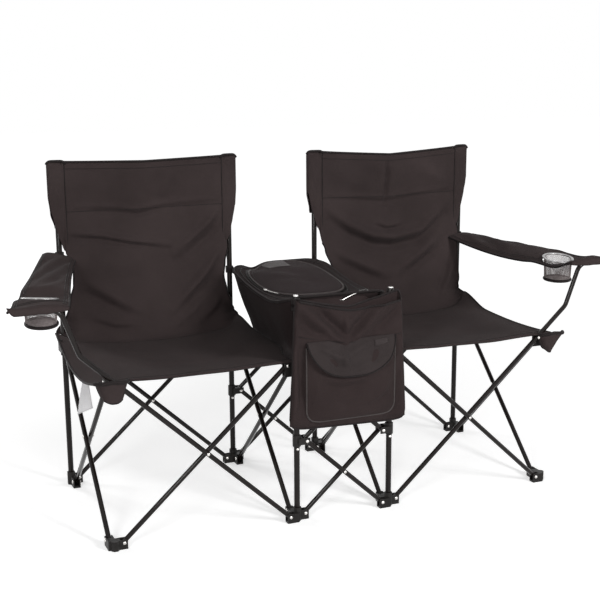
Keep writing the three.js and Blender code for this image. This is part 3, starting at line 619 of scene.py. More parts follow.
# ---------------------------------------------------------------- backs
# From the crease up: y from the rear posts, and z
BACK_PROFILE = [(0, -88, 446), (0, -73, 449), (0, -56, 463), (0, -41, 492), (0, -29, 540),
                (0, -21, 600), (0, -15, 660), (0, -11.5, 720), (0, -10, 790), (0, -9.6, 870),
                (0, -9.6, BACK_TOP)]
# Edge of the cloth inwards from its post, by height
OUTER_EDGE = [(440, -18), (500, 6), (550, 18), (595, 31), (632, 33), (660, 26), (690, 14),
              (725, -1), (752, -7), (795, -18), (850, -23.5)]
INNER_EDGE = [(440, -20), (466, -19), (482, -6), (504, 5), (542, 19), (588, 26), (630, 20),
              (662, 12), (700, 2), (748, -8), (795, -19), (850, -23.5)]
RIGHT_OUTER_EDGE = [(440, -16), (469, -13), (486, 2), (507, 9), (560, 11), (630, 11), (680, 8.5),
                    (700, 8), (711, 6), (752, -3), (793, -12), (850, -23.5)]
RIGHT_INNER_EDGE = [(440, -20), (462, -8), (500, 32), (540, 50), (583, 50), (641, 30), (672, 18),
                    (707, 8), (764, -12), (820, -23), (850, -23.5)]
SEAM_IN = 15.0
CREASE_SAG = 17.0
FOLD_GAIN, BACK_RIPPLE, BACK_SLACK = 1.3, 3.0, 12.0
# Lower end of a sleeve at its rear, and the heights where its front runs out along the edge
SLEEVE_LOW, FLARE_TOP, FLARE_LOW = 752.0, 690.0, 664.0
UNDER_SLEEVE_FROM, UNDER_SLEEVE_OVER = 668.0, 30.0
SLEEVE_HALF_W, SLEEVE_HALF_D = 24.0, 11.6
SLEEVE_DOME_FROM = 0.94
LEFT_FOLDS = [
    ([(-590, 815), (-480, 810), (-420, 800), (-330, 812), (-170, 818)], 7, 4.0),
    ([(-590, 800), (-480, 794), (-424, 781), (-330, 797), (-180, 803)], 7, -4.2),
    ([(-440, 792), (-405, 778), (-360, 790)], 6, -4.0),
    ([(-604, 741), (-520, 729), (-430, 708), (-320, 690)], 7, 7.5),
    ([(-604, 726), (-520, 714), (-430, 692), (-325, 675)], 7, -7.5),
    ([(-165, 790), (-215, 738), (-305, 664)], 12, 10.0),
    ([(-156, 752), (-200, 706), (-290, 640)], 12, -8.0),
    ([(-578, 608), (-505, 560), (-424, 508)], 12, 9.5),
    ([(-590, 578), (-512, 530), (-440, 488)], 11, -7.5),
    ([(-170, 664), (-230, 592), (-325, 500)], 13, 14.0),
    ([(-164, 616), (-215, 552), (-300, 476)], 13, -12.0),
    ([(-206, 560), (-262, 502), (-335, 450)], 12, 11.0),
    ([(-170, 540), (-205, 500), (-250, 465)], 11, 8.0),
    ([(-570, 506), (-500, 480), (-430, 474)], 11, 6.5),
    ([(-560, 486), (-500, 462), (-440, 458)], 9, -5.0),
    ([(-545, 660), (-470, 640), (-390, 640)], 30, 4.5),
    ([(-300, 900), (-345, 850), (-350, 830)], 22, 4.0),
]
RIGHT_FOLDS = [
    ([(377, 925), (380, 860), (376, 760)], 5, -7.5),
    ([(358, 925), (361, 860), (360, 780)], 14, 5.0),
    ([(397, 920), (400, 860), (396, 780)], 14, 5.0),
    ([(180, 808), (280, 802), (378, 796), (480, 806), (600, 815)], 7, 3.4),
    ([(180, 794), (280, 788), (378, 780), (480, 792), (600, 801)], 7, -3.6),
    ([(176, 770), (250, 712), (330, 676), (400, 666), (500, 682), (596, 775)], 15, 14.0),
    ([(186, 728), (262, 674), (335, 642), (400, 634), (490, 648), (590, 726)], 14, -12.0),
    ([(206, 628), (290, 590), (376, 552)], 14, 10.0),
    ([(216, 596), (290, 560), (360, 530)], 13, -7.0),
    ([(566, 668), (500, 615), (410, 556)], 15, 11.5),
    ([(576, 628), (508, 582), (430, 530)], 13, -8.0),
    ([(352, 712), (385, 700), (425, 706)], 7, 6.5),
    ([(352, 700), (385, 688), (425, 694)], 7, -6.0),
    ([(620, 610), (598, 545), (560, 478)], 11, 10.0),
    ([(604, 590), (580, 530), (545, 480)], 10, -7.0),
    ([(184, 566), (250, 522), (330, 505)], 18, 6.5),
    ([(230, 470), (330, 460), (430, 470)], 14, -5.0),
    ([(470, 900), (540, 860), (590, 830)], 26, 6.0),
    ([(200, 890), (260, 850), (330, 830)], 26, 5.0),
]
# How far each corner of the crease reaches back, how far it lifts, and its share of the width
LEFT_EARS = ((100.0, 14.0, 0.045), (64.0, 24.0, 0.06))
RIGHT_EARS = ((64.0, 24.0, 0.06), (56.0, 34.0, 0.07))


def crease_point(u, ears):
    """The (y, z) where a seat and its back meet. Ears reach back to the hubs and lift."""
    y = CREASE_Y
    z = SEAT_LEVEL - 4 - CREASE_SAG * arch(u)
    for (reach, lift, width), share in zip(ears, (u, 1 - u)):
        drawn = bell(share, width)
        y += reach * drawn
        z += (lift - 8 * min(1.0, reach / 60)) * drawn
        z += 0.4 * lift * bell(share, 0.12) * (1 - drawn)
    return y, z


def back_surface(left, right, edges, folds, dip, ears):
    """Where a back's cloth lies, by share across and share up from the crease."""
    def place(u, v):
        at = along(BACK_PROFILE, v)
        low = 1 - ease(v / 0.22)
        crease_y, crease_z = crease_point(u, ears)
        y = at.y + (crease_y - CREASE_Y) * low
        z = at.z + (crease_z - BACK_PROFILE[0][2]) * low
        insets = [table_value(edge, z) for edge in edges]
        if z > FLARE_TOP:
            insets = [min(inset, SEAM_IN) for inset in insets]
        under_sleeve = ease((z - UNDER_SLEEVE_FROM) / UNDER_SLEEVE_OVER)
        insets = [lerp(inset, SEAM_IN, under_sleeve) for inset in insets]
        x = lerp(left + insets[0], right - insets[1], u)
        held = min(1.0, min(u, 1 - u) * 12) * (1 - 0.85 * ease((v - 0.94) / 0.06)) * ease(v / 0.05)
        lift = FOLD_GAIN * fold_rise(x, z, folds)
        lift += BACK_RIPPLE * ripple(x, 0, z, size=66.0, seed=left * 0.01)
        slack = BACK_SLACK * arch(u) * ease((v - 0.04) / 0.3) * (1 - ease((v - 0.7) / 0.3))
        z -= dip * ease((v - 0.5) / 0.5) * (1 - abs(2 * u - 1)) ** 0.85
        return Vector((x, REAR_Y + y - lift * held + slack, z))
    return place


def sleeve(name, x, inward, edge, body):
    """The back's edge folded round its post; its lower end runs out along the cloth's edge."""
    lower_end = [(inset, z) for z, inset in reversed(edge) if z >= FLARE_TOP] + [(24, FLARE_LOW)]

    def place(u, v):
        angle = 2 * pi * u
        dome = (v - SLEEVE_DOME_FROM) / (1 - SLEEVE_DOME_FROM)
        shrink = 1.0 if dome < 0 else max(0.02, sqrt(max(0.0, 1 - dome ** 2)))
        w = SLEEVE_HALF_W * power(cos(angle), 0.8)
        d = SLEEVE_HALF_D * power(sin(angle), 0.45 if w > 0 else 0.8)
        front = ease(0.5 - 0.8 * sin(angle))
        z = lerp(lerp(SLEEVE_LOW, table_value(lower_end, w), front), BACK_TOP + 2.5, v)
        if w < 0:
            w = max(w, table_value(edge, max(z, SLEEVE_LOW)))
        puff = 1.4 * ripple(x, w, z, size=30.0, seed=3.0)
        w *= 0.5 + 0.5 * shrink
        return Vector((x + inward * w, REAR_Y + d * shrink + puff * sin(angle), z))

    made = seat_sheet(name, body, SEAT_CLOTH, place, cells=(44, 44), flat=(98, 190), thick=1.4)


def back(side, columns, edges, folds, dip, ears, home):
    """One back: its panel with binding and seams, and a sleeve with a sewn corner on each post."""
    left, right = (COLUMN_X[column] for column in columns)
    names = [COLUMN_NAMES[column] for column in columns]
    bodies = [f"rear_column_{name}" for name in names]
    body = bodies[home]
    place = back_surface(left, right, edges, folds, dip, ears)
    panel = seat_sheet(
        f"back_{side}_panel", body, SEAT_CLOTH, place, cells=(100, 110), flat=(468, 560), thick=1.8)
    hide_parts(f"back_{side}")
    trim = bmesh.new()
    sweep(trim, line_across(place, 1.0, 0.0, 1.0, 60, shift=(0, -1, 1.5)), 3.4, sides=10)
    for u in (0.0, 1.0):
        sweep(trim, line_up(place, u, 0.0, 0.47, 50), 2.6)
    edging = seat_trim(f"back_{side}_binding", trim, body, DARK_BINDING)
    rows = bmesh.new()
    for v in (0.735, 0.965):
        stitch(rows, line_across(place, v, 0.02, 0.98, 80, shift=(0, -1.1, 0)), 0.75)
    seams = seat_trim(f"back_{side}_seams", rows, body, STITCHES)
    anchor = in_frame((left + SEAM_IN, right - SEAM_IN)[home], REAR_Y, 700)
    gather((panel, edging, seams), anchor)
    for x, inward, edge, name, post_body in zip((left, right), (1, -1), edges, names, bodies):
        sleeve(f"back_{side}_sleeve_{name}", x, inward, edge, post_body)
        corner = bmesh.new()
        over_post = [
            Vector((x + inward * lerp(-SLEEVE_HALF_W - 1, SLEEVE_HALF_W + 2, t),
                    REAR_Y - 3 - 7 * t, BACK_TOP + 3.5 - 9 * (2 * t - 1) ** 6))
            for t in steps(0, 1, 18)]
        sweep(corner, over_post, 4.0, sides=10)
        seam_x, seam_y = x + inward * (SLEEVE_HALF_W - 1.5), REAR_Y - SLEEVE_HALF_D + 0.2
        stitch(corner, [Vector((seam_x, seam_y, z)) for z in steps(672, 930, 30)], 0.9, finish=1)
        seat_trim(f"back_{side}_corner_{name}", corner, post_body, DARK_BINDING, STITCHES)


back("left", (0, 1), (OUTER_EDGE, INNER_EDGE), LEFT_FOLDS, dip=7.0, ears=LEFT_EARS, home=0)
back(
    "right", (2, 3), (RIGHT_INNER_EDGE, RIGHT_OUTER_EDGE), RIGHT_FOLDS, dip=16.0, ears=RIGHT_EARS,
    home=1)


# ---------------------------------------------------------------- seats
SEAT_SAG, SEAT_RIPPLE = 26.0, 2.6
SEAT_HEM, HEM_TUCK, HEM_FALL = 0.05, 7.0, 3.0
SLUNG_WIDTH, SLUNG_DRAW = 0.11, 0.16
SEAT_ANCHORS = {"left": in_frame(COLUMN_X[0] + SEAT_HANG_IN, FRONT_Y, HUB_Z),
                "right": in_frame(COLUMN_X[3] - SEAT_HANG_IN, FRONT_Y, HUB_Z)}


def seat_surface(left, right, rear_over, edge_sag, ears):
    """Where a seat's cloth lies, by share across and share back from the front hem."""
    def place(u, v):
        hem = max(0.0, 1 - v / SEAT_HEM)
        crease_y, crease_z = crease_point(u, ears)
        y = lerp(FRONT_Y - 6, crease_y, max(0.0, (v - 0.03) / 0.97)) + HEM_TUCK * hem * hem
        inner = ease((min(u, 1 - u) - 0.05) / 0.33)
        dish = SEAT_SAG * inner * (0.3 + 0.7 * ease(v / 0.45))
        level = SEAT_LEVEL - dish - 3 * (1 - inner)
        z = lerp(level, crease_z, ease((v - 0.74) / 0.26)) - HEM_FALL * hem ** 1.5
        slung = arch(min(1.0, max(0.0, v - 0.04) / 0.96) ** 0.85)
        sags = [sag * bell(share, SLUNG_WIDTH) for sag, share in zip(edge_sag, (u, 1 - u))]
        z -= slung * sum(sags)
        rearward = ease((v - 0.14) / 0.25)
        x = lerp(left + rear_over[0] * rearward, right + rear_over[1] * rearward, u)
        x += slung * SLUNG_DRAW * (sags[1] - sags[0])
        pull = SEAT_RIPPLE * ripple(u * 300, v * 300, 0, size=70.0, seed=left * 0.013) * inner
        return Vector((x, y, z + pull))
    return place


def seat(side, columns, overhangs, rear_over, edge_sag, ears):
    """One seat panel with its binding and the stitches of its front hem."""
    left, right = (COLUMN_X[column] + over for column, over in zip(columns, overhangs))
    body = f"seat_{side}"
    place = seat_surface(left, right, rear_over, edge_sag, ears)
    panel = seat_sheet(
        f"seat_{side}_panel", body, SEAT_CLOTH, place, cells=(84, 64), flat=(500, 480), thick=2.2)
    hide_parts(f"seat_{side}")
    trim = bmesh.new()
    for u in (0.0, 1.0):
        sweep(trim, line_up(place, u, 0.02, 1.0, 60), 3.0)
    sweep(trim, line_across(place, 0.0, 0.0, 1.0, 60), 2.6)
    stitch(trim, line_across(place, 0.075, 0.01, 0.99, 60, shift=(0, 0, 1.3)), 0.8, finish=1)
    edging = seat_trim(f"seat_{side}_binding", trim, body, DARK_BINDING, STITCHES)
    gather((panel, edging), SEAT_ANCHORS[side])


seat(
    "left", (0, 1), overhangs=(-20.0, -10.0), rear_over=(0.0, 29.0), edge_sag=(44.0, 2.0),
    ears=LEFT_EARS)
seat(
    "right", (2, 3), overhangs=(10.0, 14.0), rear_over=(-29.0, 0.0), edge_sag=(2.0, 12.0),
    ears=RIGHT_EARS)


def corner_pocket(side, top_x, low_x, low_share):
    """The seat's reinforced corner, sewn round the front corner hub."""
    body = f"front_hub_{side}_outer"

    def place(u, v):
        across = 2 * u - 1
        half = 40 * lerp(low_share, 1.0, v ** 0.8)
        low = 394 + 8 * abs(across) ** 2
        wrap = 24 * sqrt(max(0.0, 1 - abs(across) ** 3))
        z = lerp(low, SEAT_LEVEL - 1 - 5 * abs(across), v)
        sag = 1.8 * ripple(across * 40, 0, z, size=18.0, seed=5.0)
        return Vector((lerp(low_x, top_x, v) + across * half, FRONT_Y + 3 - wrap + sag, z))

    patch = seat_sheet(
        f"seat_{side}_corner_pocket", body, SEAT_CLOTH, place, cells=(28, 20), flat=(95, 60),
        thick=2.0)
    trim = bmesh.new()
    sweep(trim, line_up(place, 0.0, 1, 0, 14) + line_across(place, 0.0, 0.04, 1, 20)
          + line_up(place, 1.0, 0.08, 1, 14), 2.2)
    sweep(trim, line_across(place, 1.0, -0.04, 1.04, 24), 5.2, sides=10)
    edging = seat_trim(f"seat_{side}_corner_binding", trim, body, DARK_BINDING)


corner_pocket("left", top_x=-628.0, low_x=-627.0, low_share=0.62)
corner_pocket("right", top_x=652.0, low_x=638.0, low_share=0.22)


def hang_tag():
    """A blank white tag sewn under the left seat's outer edge."""
    def place(u, v):
        across = 2 * u - 1
        z = lerp(312, 400, v) + 6 * across * (1 - v)
        return Vector((-652 + lerp(21, 7, v) * across + 4 * v, -52 + 4 * sin(3 * v + u), z))

    tag = cloth_piece(
        "hang_tag", "seat_left", TAG_CLOTH, place, cells=(8, 18), flat=(36, 88), thick=0.6)
    gather([tag], SEAT_ANCHORS["left"])


hang_tag()


# ---------------------------------------------------------------- arms and cup holders
CUP_R, CUP_H, CUP_BACK = 43.0, 62.0, 108.0
CUP_BASE_R, CUP_HOLE_R = CUP_R - 5.0, CUP_R + 2
ARM_HALF_REAR, ARM_HALF_FRONT = 43.0, 69.0
HEM_R = 9.8
CIRCLE_POINTS = 60


def polar(centre, radius, angle, z=0.0):
    return Vector((centre.x + radius * cos(angle), centre.y + radius * sin(angle), z))


def cup_holder(side, cup_at, ring_z, base_tilt):
    """A silver ring, the net that hangs from it, and the ring and cloth of its base."""
    body = f"arm_{side}"

    def base_z(_, y):
        return cup_at.z + 3.6 - CUP_H + base_tilt * (y - cup_at.y)

    def circle(radius, height, lift):
        points = [polar(cup_at, radius, 2 * pi * k / CIRCLE_POINTS) for k in range(CIRCLE_POINTS)]
        return [Vector((at.x, at.y, height(at.x, at.y) + lift)) for at in points]

    def wall_place(u, v):
        angle = 2 * pi * u
        at = polar(cup_at, lerp(CUP_BASE_R, CUP_R - 2.5, v) + 0.6 * sin(5 * angle), angle)
        at.z = lerp(base_z(at.x, at.y), ring_z(at.x, at.y) + 1, v)
        return at

    def floor_place(u, v):
        at = polar(cup_at, CUP_BASE_R * v, 2 * pi * u)
        at.z = base_z(at.x, at.y) - 1.5 * (1 - v * v)
        return at

    bm = bmesh.new()
    sweep(bm, circle(CUP_R - 0.5, ring_z, 3.4), 4.2, sides=12, closed=True, flatten=0.62)
    ring = piece(f"arm_{side}_cup_ring", bm, body, RING_SILVER)

    bm = cloth((80, 20), wall_place, (270, 60))
    bmesh.ops.remove_doubles(bm, verts=bm.verts, dist=WELD)
    bmesh.ops.wireframe(bm, faces=bm.faces, thickness=1.1, offset=0.0, use_replace=True,
                        use_boundary=True, use_even_offset=True)
    net = piece(f"arm_{side}_cup_net", bm, body, NET_CORD)

    bm = bmesh.new()
    sweep(bm, circle(CUP_BASE_R, base_z, 0.0), 4.4, sides=10, closed=True)
    base_ring = piece(f"arm_{side}_cup_base_ring", bm, body, DARK_BINDING)
    base_cloth = cloth_piece(
        f"arm_{side}_cup_floor", body, NET_FLOOR, floor_place, cells=(48, 6), flat=(240, 38),
        thick=1.2)
    return ring, net, base_ring, base_cloth


def arm_hem(side, front, out):
    """The strap's end, sewn round the level part of the arm tube."""
    def place(u, v):
        across = 2 * v - 1
        outward = across * out
        angle = 2 * pi * u
        tip = max(0.0, (outward - 0.8) / 0.2)
        if outward > 0:
            fat = HEM_R * (1 - 0.12 * outward ** 4 - 0.84 * tip ** 2.2)
        else:
            fat = HEM_R * (1 - 0.6 * abs(outward) ** 2.5)
        fat += 0.7 * ripple(across * 70, angle * 4, 0, size=14.0, seed=out) * (1 - across ** 6)
        middle = ARM_HAND_Z + 1.8 - 0.8 * across ** 2 + 12 * tip ** 2
        x = front.x + across * (ARM_HALF_FRONT + 1) + out * 6 * max(0.0, outward) ** 4
        return Vector((x, front.y + fat * 0.94 * cos(angle), middle + fat * sin(angle)))

    return seat_sheet(
        f"arm_{side}_hem", f"arm_{side}", SEAT_CLOTH, place, cells=(28, 34), flat=(76, 140),
        thick=1.6)


def arm_post_loop(side, column_name, rear):
    """The loop that holds the strap's rear end to its post."""
    def place(u, v):
        angle = 2 * pi * u
        stretch = 1 + 0.5 * max(0.0, -sin(angle)) ** 2
        return Vector((rear.x + 11.5 * cos(angle) * (1.4 - 0.4 * stretch),
                       rear.y + 11.0 * sin(angle) * stretch, rear.z - 20 + 24 * v))

    return seat_sheet(
        f"arm_{side}_post_loop", f"rear_column_{column_name}", DARK_BINDING, place, cells=(28, 8),
        flat=(78, 24), thick=2.0)


def arm(side, column, rear_lift, rear_twist, splay, ring_tilt, ring_roll, base_tilt, cup_shift,
        inner_droop):
    """A padded strap from its rear post to the arm tube, with a net cup let into it."""
    x0, name = COLUMN_X[column], COLUMN_NAMES[column]
    out = copysign(1.0, x0)
    rear = Vector((x0, REAR_Y, ARM_REAR_Z + rear_lift))
    front = Vector((x0 + out * splay, FRONT_Y + out * LAYER, ARM_HAND_Z + 10))
    length = rear.y - front.y
    body = f"arm_{side}"
    cup_at = rear.lerp(front, 1 - CUP_BACK / length) + Vector(cup_shift)

    def ring_z(x, y):
        return cup_at.z + ring_tilt * (y - cup_at.y) + ring_roll * (x - cup_at.x)

    def place(u, v):
        y = lerp(rear.y - 12, front.y + 1, v)
        share = (rear.y - y) / length
        at = rear.lerp(front, share)
        across = 2 * u - 1
        widen = ease(v * 1.05) * 0.35 + v * 0.65
        x = at.x + across * lerp(ARM_HALF_REAR, ARM_HALF_FRONT, widen)
        x += out * (6 * arch(share) + 6 * ease((v - 0.9) / 0.1) * max(0.0, across * out) ** 4)
        reach = (Vector((x, y)) - cup_at.xy).length - CUP_R
        near = 1 - ease((reach - 4) / 58)
        slung = at.z - 8.0 * arch(share) * (1 - 0.4 * across * across)
        rays = (sin(6.0 * across + 21 * v + out) * ease(v / 0.12)
                * (1 - ease((v - 0.3) / 0.45)) * 2.6)
        uneven = ripple(across * 60 + v * 150, v * 420, 0, size=46.0, seed=out * 2)
        rays += 4.0 * uneven * ease(v / 0.1)
        rays *= 1 - across ** 6
        edge = -5.0 * across * across - 5.0 * abs(across) ** 8
        edge -= inner_droop * max(0.0, -across * out) ** 1.5 * arch(share)
        edge += rear_twist * across * out * (1 - ease(v / 0.45))
        z = lerp(slung + rays * ease(reach / 30), ring_z(x, y), near)
        return Vector((x, y, z + 1.5 + edge * (1 - 0.4 * near)))

    bm = cloth((38, 110), place, (138, 520))
    hole = [f for f in bm.faces if (f.calc_center_median().xy - cup_at.xy).length < CUP_HOLE_R]
    bmesh.ops.delete(bm, geom=hole, context="FACES")
    for vert in bm.verts:
        flat = vert.co.xy - cup_at.xy
        if vert.is_boundary and flat.length < CUP_HOLE_R + 8:
            vert.co.xy = cup_at.xy + flat.normalized() * CUP_HOLE_R
    pad = thicken(seat_trim(f"arm_{side}_pad", bm, body, SEAT_CLOTH), 4.0)
    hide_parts(f"arm_{side}")

    trim = bmesh.new()
    on_top = (0, 0, 2.2)
    for u in (0.0, 1.0):
        sweep(trim, line_up(place, u, 0, 0.995, 70), 3.4)
    for v in (0.93, 0.945):
        stitch(trim, line_across(place, v, 0.02, 0.98, 40, on_top), 0.8, finish=1)
    for u in (0.05, 0.09, 0.91, 0.95):
        stitch(trim, line_up(place, u, 0.02, 0.98, 70, on_top), 0.9, finish=1)
    edging = seat_trim(f"arm_{side}_binding", trim, body, DARK_BINDING, STITCHES)

    hem = arm_hem(side, front, out)
    loop = arm_post_loop(side, name, rear)
    ring, net, base_ring, base_cloth = cup_holder(side, cup_at, ring_z, base_tilt)
    gather(
        (pad, edging, hem, ring, net, base_ring, base_cloth),
        in_frame(*rear))


arm(
    "left", 0, rear_lift=13.0, rear_twist=12.0, splay=157.0, ring_tilt=-0.17, ring_roll=-0.1,
    base_tilt=0.12, cup_shift=(-10, 0, -13), inner_droop=3.0)
arm(
    "right", 3, rear_lift=-8.0, rear_twist=0.0, splay=150.0, ring_tilt=0.14, ring_roll=0.0,
    base_tilt=0.05, cup_shift=(-9, 0, -18), inner_droop=22.0)


# ---------------------------------------------------------------- cooler
COOLER_HALF_W, COOLER_BASE_HALF_W = 150.0, 70.0
COOLER_END, COOLER_TAPER, COOLER_CORNER = 236.0, 68.0, 62.0
COOLER_SIDES = ("right", "rear", "left", "front")
# Shares of a wall: the long sides take in the base, and all of them the collar round the lid
BASE_SHARE, COLLAR_FROM = 0.24, 0.86
# The piped panel of the lid
PANEL_X, PANEL_Y, PANEL_HALF_W, PANEL_HALF_L, PANEL_POWER = -8.0, 58.0, 122.0, 170.0, 2.6
LID_SWELL, LID_CREASES, LID_DENT = 17.0, 5.0, 6.0
LID_TURNS = [k / 140 for k in range(140)]
# The zip's share of the way out from the lid's middle, the turns where it runs, and its teeth
ZIP_SHARE, ZIP_FROM, ZIP_TO, ZIP_TEETH = 1.008, 0.33, 1.17, 300
ZIP_PULL_FROM, ZIP_PULL_TO = 0.585, 0.64
# Loops on the posts: the cooler's hang between these depths below its rim, and reach its corners
BAND_R = 10.6
STRAP_LOW, STRAP_HIGH, STRAP_CORNER = 21.0, 2.0, (122, 224)


def cooler_outline(t, share):
    """A point of the bag's outline: t runs 0-4 over its sides, turning at the corners."""
    half = lerp(COOLER_BASE_HALF_W, COOLER_HALF_W, share)
    end = COOLER_END - COOLER_TAPER * (1 - share)
    r = min(COOLER_CORNER, half * 0.8)
    side = int(t) % 4
    lengthwise = side % 2 == 0
    reach = (end if lengthwise else half) - r
    arc = r * pi / 4
    travelled = (t - int(t)) * (2 * arc + 2 * reach)
    if travelled < arc:
        angle = -pi / 4 + travelled / r
        flat = Vector((r * cos(angle), -reach + r * sin(angle)))
    elif travelled < arc + 2 * reach:
        flat = Vector((r, travelled - arc - reach))
    else:
        angle = (travelled - arc - 2 * reach) / r
        flat = Vector((r * cos(angle), reach + r * sin(angle)))
    flat.x += (half if lengthwise else end) - r
    return Matrix.Rotation(pi / 2 * side, 2) @ flat


def rim_height(x, y):
    """The bag's rim dips between its hung ends, and behind its rear left strap."""
    past = y + 90
    slack = 15 * bell(x + 76, 30) * ease((y - 120) / 90)
    rise = 40 * (past / 330) ** 2 if past > 0 else 32 * (past / 150) ** 2
    return COOLER_TOP - 21 - slack + rise


def panel_reach(x, y):
    """How far out a point lies, as a share of the way to the piped panel's edge."""
    across, lengthwise = abs((x - PANEL_X) / PANEL_HALF_W), abs((y - PANEL_Y) / PANEL_HALF_L)
    return (across ** PANEL_POWER + lengthwise ** PANEL_POWER) ** (1 / PANEL_POWER)


def lid_height(x, y):
    """The bag's top follows the rim and swells inside the piped panel."""
    out = panel_reach(x, y)
    swell = LID_SWELL * sqrt(max(0.0, 1 - out ** 2.4)) * min(1.0, 1.15 - 0.3 * out)
    creases = LID_CREASES * ripple(x, y, 0, size=58.0, seed=1.0) * max(0.0, 1 - out)
    dent = LID_DENT * bell(y + 10, 70) * bell(x - 25, 45)
    return rim_height(x, y) + 4 + swell + creases - dent


def lid_point(x, y, lift=0.0):
    return Vector((x, y, lid_height(x, y) + lift))


def lid_edge(flat):
    """The point of the piped panel's edge towards a point of the bag's top."""
    out = panel_reach(flat.x, flat.y)
    return Vector((PANEL_X + (flat.x - PANEL_X) / out, PANEL_Y + (flat.y - PANEL_Y) / out))


def lid_rim(turn, share, lift=0.0):
    """A point of the lid by turn and share of the way out to its zip."""
    angle = 2 * pi * turn
    edge = lid_edge(Vector((PANEL_X + cos(angle), PANEL_Y + sin(angle))))
    return lid_point(lerp(PANEL_X, edge.x, share), lerp(PANEL_Y, edge.y, share), lift)


def cooler_wall(side, body, anchor):
    """One sewn side of the bag, with its share of the base and of the collar round the lid."""
    first = COOLER_SIDES.index(side)
    long_side = side in ("left", "right")
    low = BASE_SHARE if long_side else 0.0

    def place(u, v):
        if v < low:
            share = v / low
            edge = cooler_outline(first + u, 0.0)
            flat = Vector((0.0, edge.y * 0.96)).lerp(edge, share)
            z = COOLER_BOTTOM - 5 * (1 - share * share)
        elif v > COLLAR_FROM:
            rim = cooler_outline(first + u, 1.0)
            flat = rim.lerp(lid_edge(rim), (v - COLLAR_FROM) / (1 - COLLAR_FROM))
            z = lid_height(flat.x, flat.y)
        else:
            s = (v - low) / (COLLAR_FROM - low)
            flat = cooler_outline(first + u, max(s, 1e-6) ** 0.8)
            z = COOLER_BOTTOM + s * (rim_height(flat.x, flat.y) - COOLER_BOTTOM)
            belly = 5 * arch(s) * arch(u)
            out = Vector((flat.x / COOLER_HALF_W, flat.y / COOLER_END)).normalized()
            pull = 3.2 * sin(9 * u + 3 * s) * s ** 2
            pull += 4.0 * ripple(flat.x, flat.y, z, size=60.0, seed=9.0)
            flat = flat + out * (belly + pull * arch(min(1, s * 1.02)))
        return Vector((flat.x, flat.y, z))

    # The walls take the darker cooler cloth, which is painted shade.
    wall = bag_sheet(
        f"cooler_{side}_wall", body, SHADED_COOLER_CLOTH, place, cells=(60 if long_side else 40, 46),
        flat=(560 if long_side else 330, 380), thick=3.0)
    trim = bmesh.new()
    for v, radius, raised in ((COLLAR_FROM, 4.2, 2.0), (0.925, 2.4, 1.4), (0.985, 2.8, 1.4)):
        sweep(trim, line_across(place, v, 0, 1, 60, shift=(0, 0, raised)), radius)
    sweep(trim, line_across(place, low, 0, 1, 50), 2.0)
    if long_side:
        for u in (0.0, 1.0):
            sweep(trim, line_up(place, u, low, COLLAR_FROM, 30), 2.2)
    edging = bag_trim(f"cooler_{side}_binding", trim, body, DARK_BINDING)
    gather((wall, edging), anchor)
    return wall


rear_left_inner = in_frame(COLUMN_X[1], REAR_Y, COOLER_TOP)
rear_right_inner = in_frame(COLUMN_X[2], REAR_Y, COOLER_TOP)
front_left_inner = in_frame(COLUMN_X[1], FRONT_Y, COOLER_TOP)
left_wall = cooler_wall("left", "rear_column_left_inner", rear_left_inner)
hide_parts("cooler_bag")
cooler_wall("right", "rear_column_right_inner", rear_right_inner)
cooler_wall("front", "front_column_left_inner", front_left_inner)
cooler_wall("rear", "rear_column_left_inner", rear_left_inner)


def post_band(stem, side, column, low, high, toward):
    """A webbing loop round a post, with a tab sewn to what hangs from it."""
    at_post = Vector((COLUMN_X[column], FRONT_Y if side == "front" else REAR_Y))
    body = f"{side}_column_{COLUMN_NAMES[column]}"
    toward = Vector(toward)
    wide = high - low

    def ring(u, v):
        return polar(at_post, BAND_R, 2 * pi * u, lerp(low, high, v))

    band = bag_sheet(
        stem + "_loop", body, DARK_BINDING, ring, cells=(24, 4), flat=(67, wide), thick=2.0)
    reach = toward - at_post
    start = at_post + reach.normalized() * (BAND_R - 1)
    beside = Vector((-reach.y, reach.x)).normalized()

    def tab(u, v):
        bow = arch(u)
        at = start.lerp(toward, u) + beside * 2.2 * bow
        return Vector((at.x, at.y, lerp(low, high, v) - 3 * bow))

    strap = bag_sheet(
        stem + "_tab", body, DARK_BINDING, tab, cells=(14, 4), flat=(reach.length, wide), thick=2.4)


for column in (1, 2):
    for side, y in (("front", FRONT_Y), ("rear", REAR_Y)):
        x = COLUMN_X[column]
        top = rim_height(x, y * 0.86)
        post_band(
            f"cooler_strap_{side}_{COLUMN_NAMES[column]}", side, column, top - STRAP_LOW,
            top - STRAP_HIGH, toward=(copysign(STRAP_CORNER[0], x), copysign(STRAP_CORNER[1], y)))


